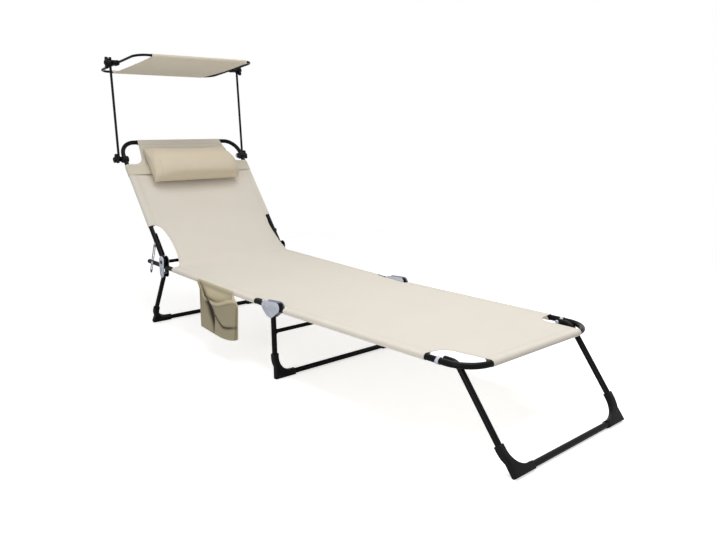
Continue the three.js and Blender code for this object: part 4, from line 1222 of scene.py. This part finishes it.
def pillow():
    """The bolster for the head: a bag blown up by a cloth simulation, then seamed at its ends."""
    bm = bmesh.new()
    bmesh.ops.create_cube(bm, size=2)
    bmesh.ops.subdivide_edges(bm, edges=list(bm.edges), cuts=15, use_grid_fill=True)
    for v in bm.verts:
        v.co = pillow_shape(*v.co)
    light, deep = tint(234, 221, 196), tint(225, 211, 184)
    cover = woven("pillow_cloth", light, deep, pitch=0.0011, seam=NO_BAR_SEAM, slant=BACK_ANGLE)
    piece = finish_piece(bm, "head_pillow", None, cover, "sling_cloth", ["pillow"], back_place, sharp=180)
    cells = piece.modifiers.new("cells", "REMESH")
    cells.mode = "VOXEL"
    cells.voxel_size = 0.005
    settle(piece, 180)
    inflate(piece, pressure=5.0, reach=0.007)
    finer = piece.modifiers.new("finer", "SUBSURF")
    finer.levels = finer.render_levels = 1
    settle(piece, 180)
    end_seam = 0.166
    stitch = piece.data.attributes.new("stitch", "FLOAT", "POINT")
    for vert, mark in zip(piece.data.vertices, stitch.data):
        mark.value = abs(vert.co.y) - end_seam
    piece.data.polygons.foreach_set("use_smooth", [True] * len(piece.data.polygons))
    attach(piece, "headrest")


def inflate(piece, pressure, reach):
    """Blows a closed bag up as cloth for 20 frames. It holds each point near its start, and
    above the sling that the bag lies on."""
    start = [v.co.copy() for v in piece.data.vertices]
    blown = piece.modifiers.new("blown", "CLOTH")
    blown.settings.use_pressure = True
    blown.settings.uniform_pressure_force = pressure
    blown.settings.tension_stiffness = 12
    blown.settings.compression_stiffness = 4
    blown.settings.bending_stiffness = 0.3
    blown.settings.effector_weights.gravity = 0
    for step in range(1, 21):
        bpy.context.scene.frame_set(step)
    settle(piece, 180)
    bpy.context.scene.frame_set(1)
    off_sling = back_place.to_3x3() @ Vector((0, 0, 1))
    for vert, before in zip(piece.data.vertices, start):
        push = vert.co - before
        push -= off_sling * min(push.dot(off_sling), 0.0)
        if push.length > reach:
            push *= reach / push.length
        vert.co = before + push


def elastic_band():
    """The band that holds the pillow, right round the backrest."""
    low, high = BAND
    bm = bmesh.new()
    at = bm.verts.new((low, HALF_SPAN, SLEEVE + FIT + BAND_THICKNESS))
    for y in (-HALF_SPAN, HALF_SPAN):
        at = bmesh.ops.extrude_vert_indiv(bm, verts=[at])["verts"][0]
        at.co.y = y
        spun = bmesh.ops.spin(bm, geom=[at], cent=(low, y, 0), axis=(1, 0, 0), angle=math.pi, steps=12)
        at = pick(spun["geom_last"], bmesh.types.BMVert)[0]
    bmesh.ops.remove_doubles(bm, verts=bm.verts, dist=1e-5)
    ring = list(bm.edges)
    for _ in range(4):
        ring = run_on(bm, ring, Vector(((high - low) / 4, 0, 0)))
    warp = bm.loops.layers.uv.new("cloth")
    stitch = bm.verts.layers.float.new("stitch")
    for v in bm.verts:
        v[stitch] = min(v.co.x - low, high - v.co.x) - 0.004
    for face in bm.faces:
        for loop in face.loops:
            loop[warp].uv = (loop.vert.co.y + loop.vert.co.z, loop.vert.co.x)
    bm.transform(back_place)
    light, deep = tint(226, 217, 199), tint(218, 208, 189)
    webbing = woven("elastic_webbing", light, deep, pitch=0.0018, seam=NO_BAR_SEAM)
    bmesh.ops.recalc_face_normals(bm, faces=bm.faces)
    area = sum(f.calc_area() for f in bm.faces)
    piece = finish_piece(
        bm, "pillow_elastic", None, webbing, "sling_cloth", ["pillow_band"], closed=False
    )
    thicken_cloth(piece, BAND_THICKNESS)
    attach(piece, "headrest")


# The pocket along the rail and down, and its heavy hem as a share of its depth
POCKET_LENGTH = 0.236
POCKET_DEPTH = 0.163
POCKET_REAR = 0.262
POCKET_FRONT = 0.446
HEM = 0.07


def peak(value, middle, width):
    """1 at the middle, and falling off on both sides of it over a width."""
    return math.exp(-(((value - middle) / width) ** 2))


def mouth(u):
    """How far down the pocket its outer wall starts: low in the middle, high at both ends."""
    return 0.02 + 0.30 * smooth(u / 0.2) - 0.17 * smooth((u - 0.45) / 0.55)


def hung(u, v, w):
    """How far down the pocket a point hangs, from its inner wall to its outer wall."""
    return v + w * mouth(u) * (1 - v)


def pocket_place(u, v, w):
    """A place on the pocket: u along it and v down it from 0 to 1, w from its inner wall to its
    outer wall."""
    top, drop = 0.007, 0.146
    belly = math.sin(math.pi * u)
    z = top - (top + drop) * v - (0.006 * math.sin(math.pi * u**2) - 0.002 * u**8) * smooth(v)
    down = max(-z / drop, 0.0)
    rear = POCKET_REAR + 0.018 * down - 0.018 * smooth(1 - v / 0.2)
    front = POCKET_FRONT + 0.035 * smooth(down * 3 + 0.15)
    x = rear + (front - rear) * u
    depth = 0.009 + 0.005 * belly + 0.005 * down
    depth += (0.005 * lip(u, v) - 0.008 * crease(u, v)) * smooth(belly * 2)
    inner = -HALF_SPAN - 0.0095 - 0.003 * math.sqrt(down)
    return Vector((x, inner - depth * w, z))


def lip(u, v):
    """How far the outer wall stands out: most along the fold that its heavy hem makes."""
    line = mouth(u) + HEM
    return (v / line) ** 2 if v < line else math.exp(-(v - line) / 0.06)


def crease(u, v):
    """How deep the pocket's outer wall is creased: a long fold from its upper rear corner to
    its bottom, a short one that leaves it towards the foot, and two down the rear gusset."""
    long_fold = 0.08 + 0.38 * (1 - math.exp(-max(v - 0.17, 0.0) / 0.3))
    wide = 0.028 + 0.056 * smooth((v - 0.25) / 0.15) * smooth((0.85 - v) / 0.3)
    deep = peak(u, long_fold, wide) * smooth((v - 0.12) / 0.14) * smooth((1.15 - v) / 0.5)
    short_fold = 0.58 + 0.19 * smooth((u - 0.40) / 0.3) - 0.04 * smooth((u - 0.7) / 0.3)
    side = peak(v, short_fold, 0.030) * smooth((u - 0.38) / 0.08) * smooth((1.3 - u) / 0.5)
    gusset = peak(u, 0.035, 0.016) + 0.6 * peak(u, 0.105, 0.018)
    return max(deep, 0.6 * side, 0.4 * gusset * smooth((0.75 - v) / 0.4))


def side_pocket():
    """The pocket that hangs from the right-hand sleeve: an open bag, soft and creased. The
    attribute fold holds its painted shade: a painted shadow under the sleeve on both walls,
    some over all the outer wall, more below and along the fold under its hem, and most in
    its creases."""
    bm = bmesh.new()
    bmesh.ops.create_cube(bm, size=1, matrix=Matrix.Translation((0.5, 0.5, 0.5)))
    bmesh.ops.delete(bm, geom=[f for f in bm.faces if f.normal.z > 0.5], context="FACES")
    bmesh.ops.subdivide_edges(bm, edges=list(bm.edges), cuts=47, use_grid_fill=True)
    laid = bm.loops.layers.uv.new("cloth")
    stitch = bm.verts.layers.float.new("stitch")
    fold = bm.verts.layers.float.new("fold")
    for face in bm.faces:
        for loop in face.loops:
            at = loop.vert.co
            loop[laid].uv = (at.x * POCKET_LENGTH, (at.z + at.y * 0.1) * POCKET_DEPTH)
    for v in bm.verts:
        u, fall, out = v.co.x, 1 - v.co.z, 1 - v.co.y
        down = hung(u, fall, out)
        v.co = pocket_place(u, down, out)
        v[stitch] = NO_SIDE_SEAM
        # Painted shade on the outer wall: some all over, more below the fold that the heavy hem makes,
        # and most in its creases.
        under = down - mouth(u) - HEM
        below = smooth(under / 0.03 + 0.5)
        # A painted shadow line along the fold under the heavy hem.
        seam = peak(under, 0, 0.018) * smooth((u - 0.3) / 0.1)
        shade = 0.22 + 0.30 * below + 0.18 * seam + 0.75 * crease(u, down)
        # A painted shadow under the sleeve, on both walls; the attribute fold holds all this painted
        # shade.
        sleeve_shadow = 0.35 * peak(down, 0.08, 0.05)
        v[fold] = max(min(shade, 1.0) * smooth(out * 3 - 0.5), sleeve_shadow)
    bm.transform(seat_place)
    bmesh.ops.recalc_face_normals(bm, faces=bm.faces)
    # The cloth takes its full painted shade from the attribute fold.
    cloth = woven("pocket_cloth", tint(232, 218, 180), tint(220, 206, 168), seam=NO_BAR_SEAM, fold_shade=1.0)
    piece = finish_piece(bm, "pocket_bag", None, cloth, "shade_cloth", ["side_pocket"], closed=False)
    thicken_cloth(piece)
    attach(piece, "seat")


# The studio


# Each lamp: its place, its aim, its size in metres, its power in watts and its spread
LAMPS = (
    ("overhead", (0.75, 0.0, 3.1), (0.75, 0, 0.3), 2.2, 23.5, 100),
    ("side_fill", (1.4, -3.8, 1.3), (0, 0, 0.3), 1.8, 34, 180),
)
AMBIENT = 0.33


def studio():
    """A plain pale floor, soft light from above, and the photograph's camera."""
    floor = Finish("pale_floor", Roughness=0.9, Specular_IOR_Level=0.0, Emission_Strength=0.60)
    seen = floor.node("ShaderNodeLightPath", output="Is Camera Ray")
    far = floor.node("ShaderNodeVectorMath", {"operation": "LENGTH"}, {0: floor.place()}, output="Value")
    fade = 1 - floor.rises(far, 1.6, 2.8)
    floor.feed(
        Base_Color=floor.blend(seen, (0.86, 0.86, 0.86, 1), (1, 1, 1, 1)),
        Emission_Color=floor.blend(seen, (0, 0, 0, 1), (1, 1, 1, 1)),
        Alpha=fade,
    )
    bm = bmesh.new()
    bmesh.ops.create_grid(bm, x_segments=1, y_segments=1, size=3)
    mesh = bpy.data.meshes.new("studio_floor")
    bm.to_mesh(mesh)
    bm.free()
    ground = bpy.data.objects.new("studio_floor", mesh)
    mesh.materials.append(floor.material)
    bpy.context.scene.collection.objects.link(ground)
    white_world()
    for name, place, aim, size, power, spread_angle in LAMPS:
        lamp = bpy.data.lights.new(name, "AREA")
        lamp.size = size
        lamp.energy = power
        lamp.spread = math.radians(spread_angle)
        holder = bpy.data.objects.new(name, lamp)
        holder.location = place
        holder.rotation_euler = (Vector(aim) - Vector(place)).to_track_quat("-Z", "Y").to_euler()
        bpy.context.scene.collection.objects.link(holder)
    photograph_camera()
    bpy.context.scene.view_settings.view_transform = "Standard"


def white_world():
    """White where the camera or a mirror sees it, and a dim white light on everything else."""
    world = bpy.data.worlds.new("studio")
    world.use_nodes = True
    bpy.context.scene.world = world
    tree = world.node_tree
    path = tree.nodes.new("ShaderNodeLightPath")
    seen = path.outputs["Is Camera Ray"]
    for ray in ("Is Glossy Ray", "Is Transmission Ray"):
        either = tree.nodes.new("ShaderNodeMath")
        either.operation = "MAXIMUM"
        tree.links.new(seen, either.inputs[0])
        tree.links.new(path.outputs[ray], either.inputs[1])
        seen = either.outputs[0]
    level = tree.nodes.new("ShaderNodeMapRange")
    level.inputs["To Min"].default_value = AMBIENT
    tree.links.new(seen, level.inputs["Value"])
    backdrop = tree.nodes["Background"]
    tree.links.new(level.outputs[0], backdrop.inputs["Strength"])
    backdrop.inputs["Color"].default_value = (1, 1, 1, 1)


def photograph_camera():
    """The camera where the photograph was taken from."""
    place = (1.823606, -1.4718, 0.7728)
    yaw, pitch, roll = math.radians(42.70), math.radians(11.975), 0.0093
    view = Vector((-math.cos(yaw) * math.cos(pitch), math.sin(yaw) * math.cos(pitch), -math.sin(pitch)))
    right = view.cross(Vector((0, 0, 1))).normalized()
    upright = right.cross(view)
    tilted = right * math.cos(roll) + upright * math.sin(roll)
    up = upright * math.cos(roll) - right * math.sin(roll)
    lens = bpy.data.cameras.new("photograph")
    lens.sensor_width = 36
    lens.lens = 36.22
    camera = bpy.data.objects.new("photograph", lens)
    bpy.context.scene.collection.objects.link(camera)
    turn = Matrix((tilted, up, -view)).transposed().to_4x4()
    camera.matrix_world = Matrix.Translation(place) @ turn
    bpy.context.scene.camera = camera


for build in (
    seat_rail,
    guide_pin,
    hinge_plates,
    hinge_rivets,
    front_leg_clip,
    recline_strap,
    strap_mount,
    clamp,
    canopy_arm,
):
    for hand, side in HANDS.items():
        build(hand, side)
back_axle()
legs()
foot_rail()
back_tube()
canopy_frame()
for hand, side in HANDS.items():
    for spot, lean, reach, stud, lobe in KNOBS:
        name = f"{spot}_knob_{hand}"
        place = section(pivots[f"{name}_turn"], lean)
        knob(name, place, side, reach, stud, -lobe - side * lean)
sling()
canopy_cover()
pillow()
elastic_band()
side_pocket()
studio()
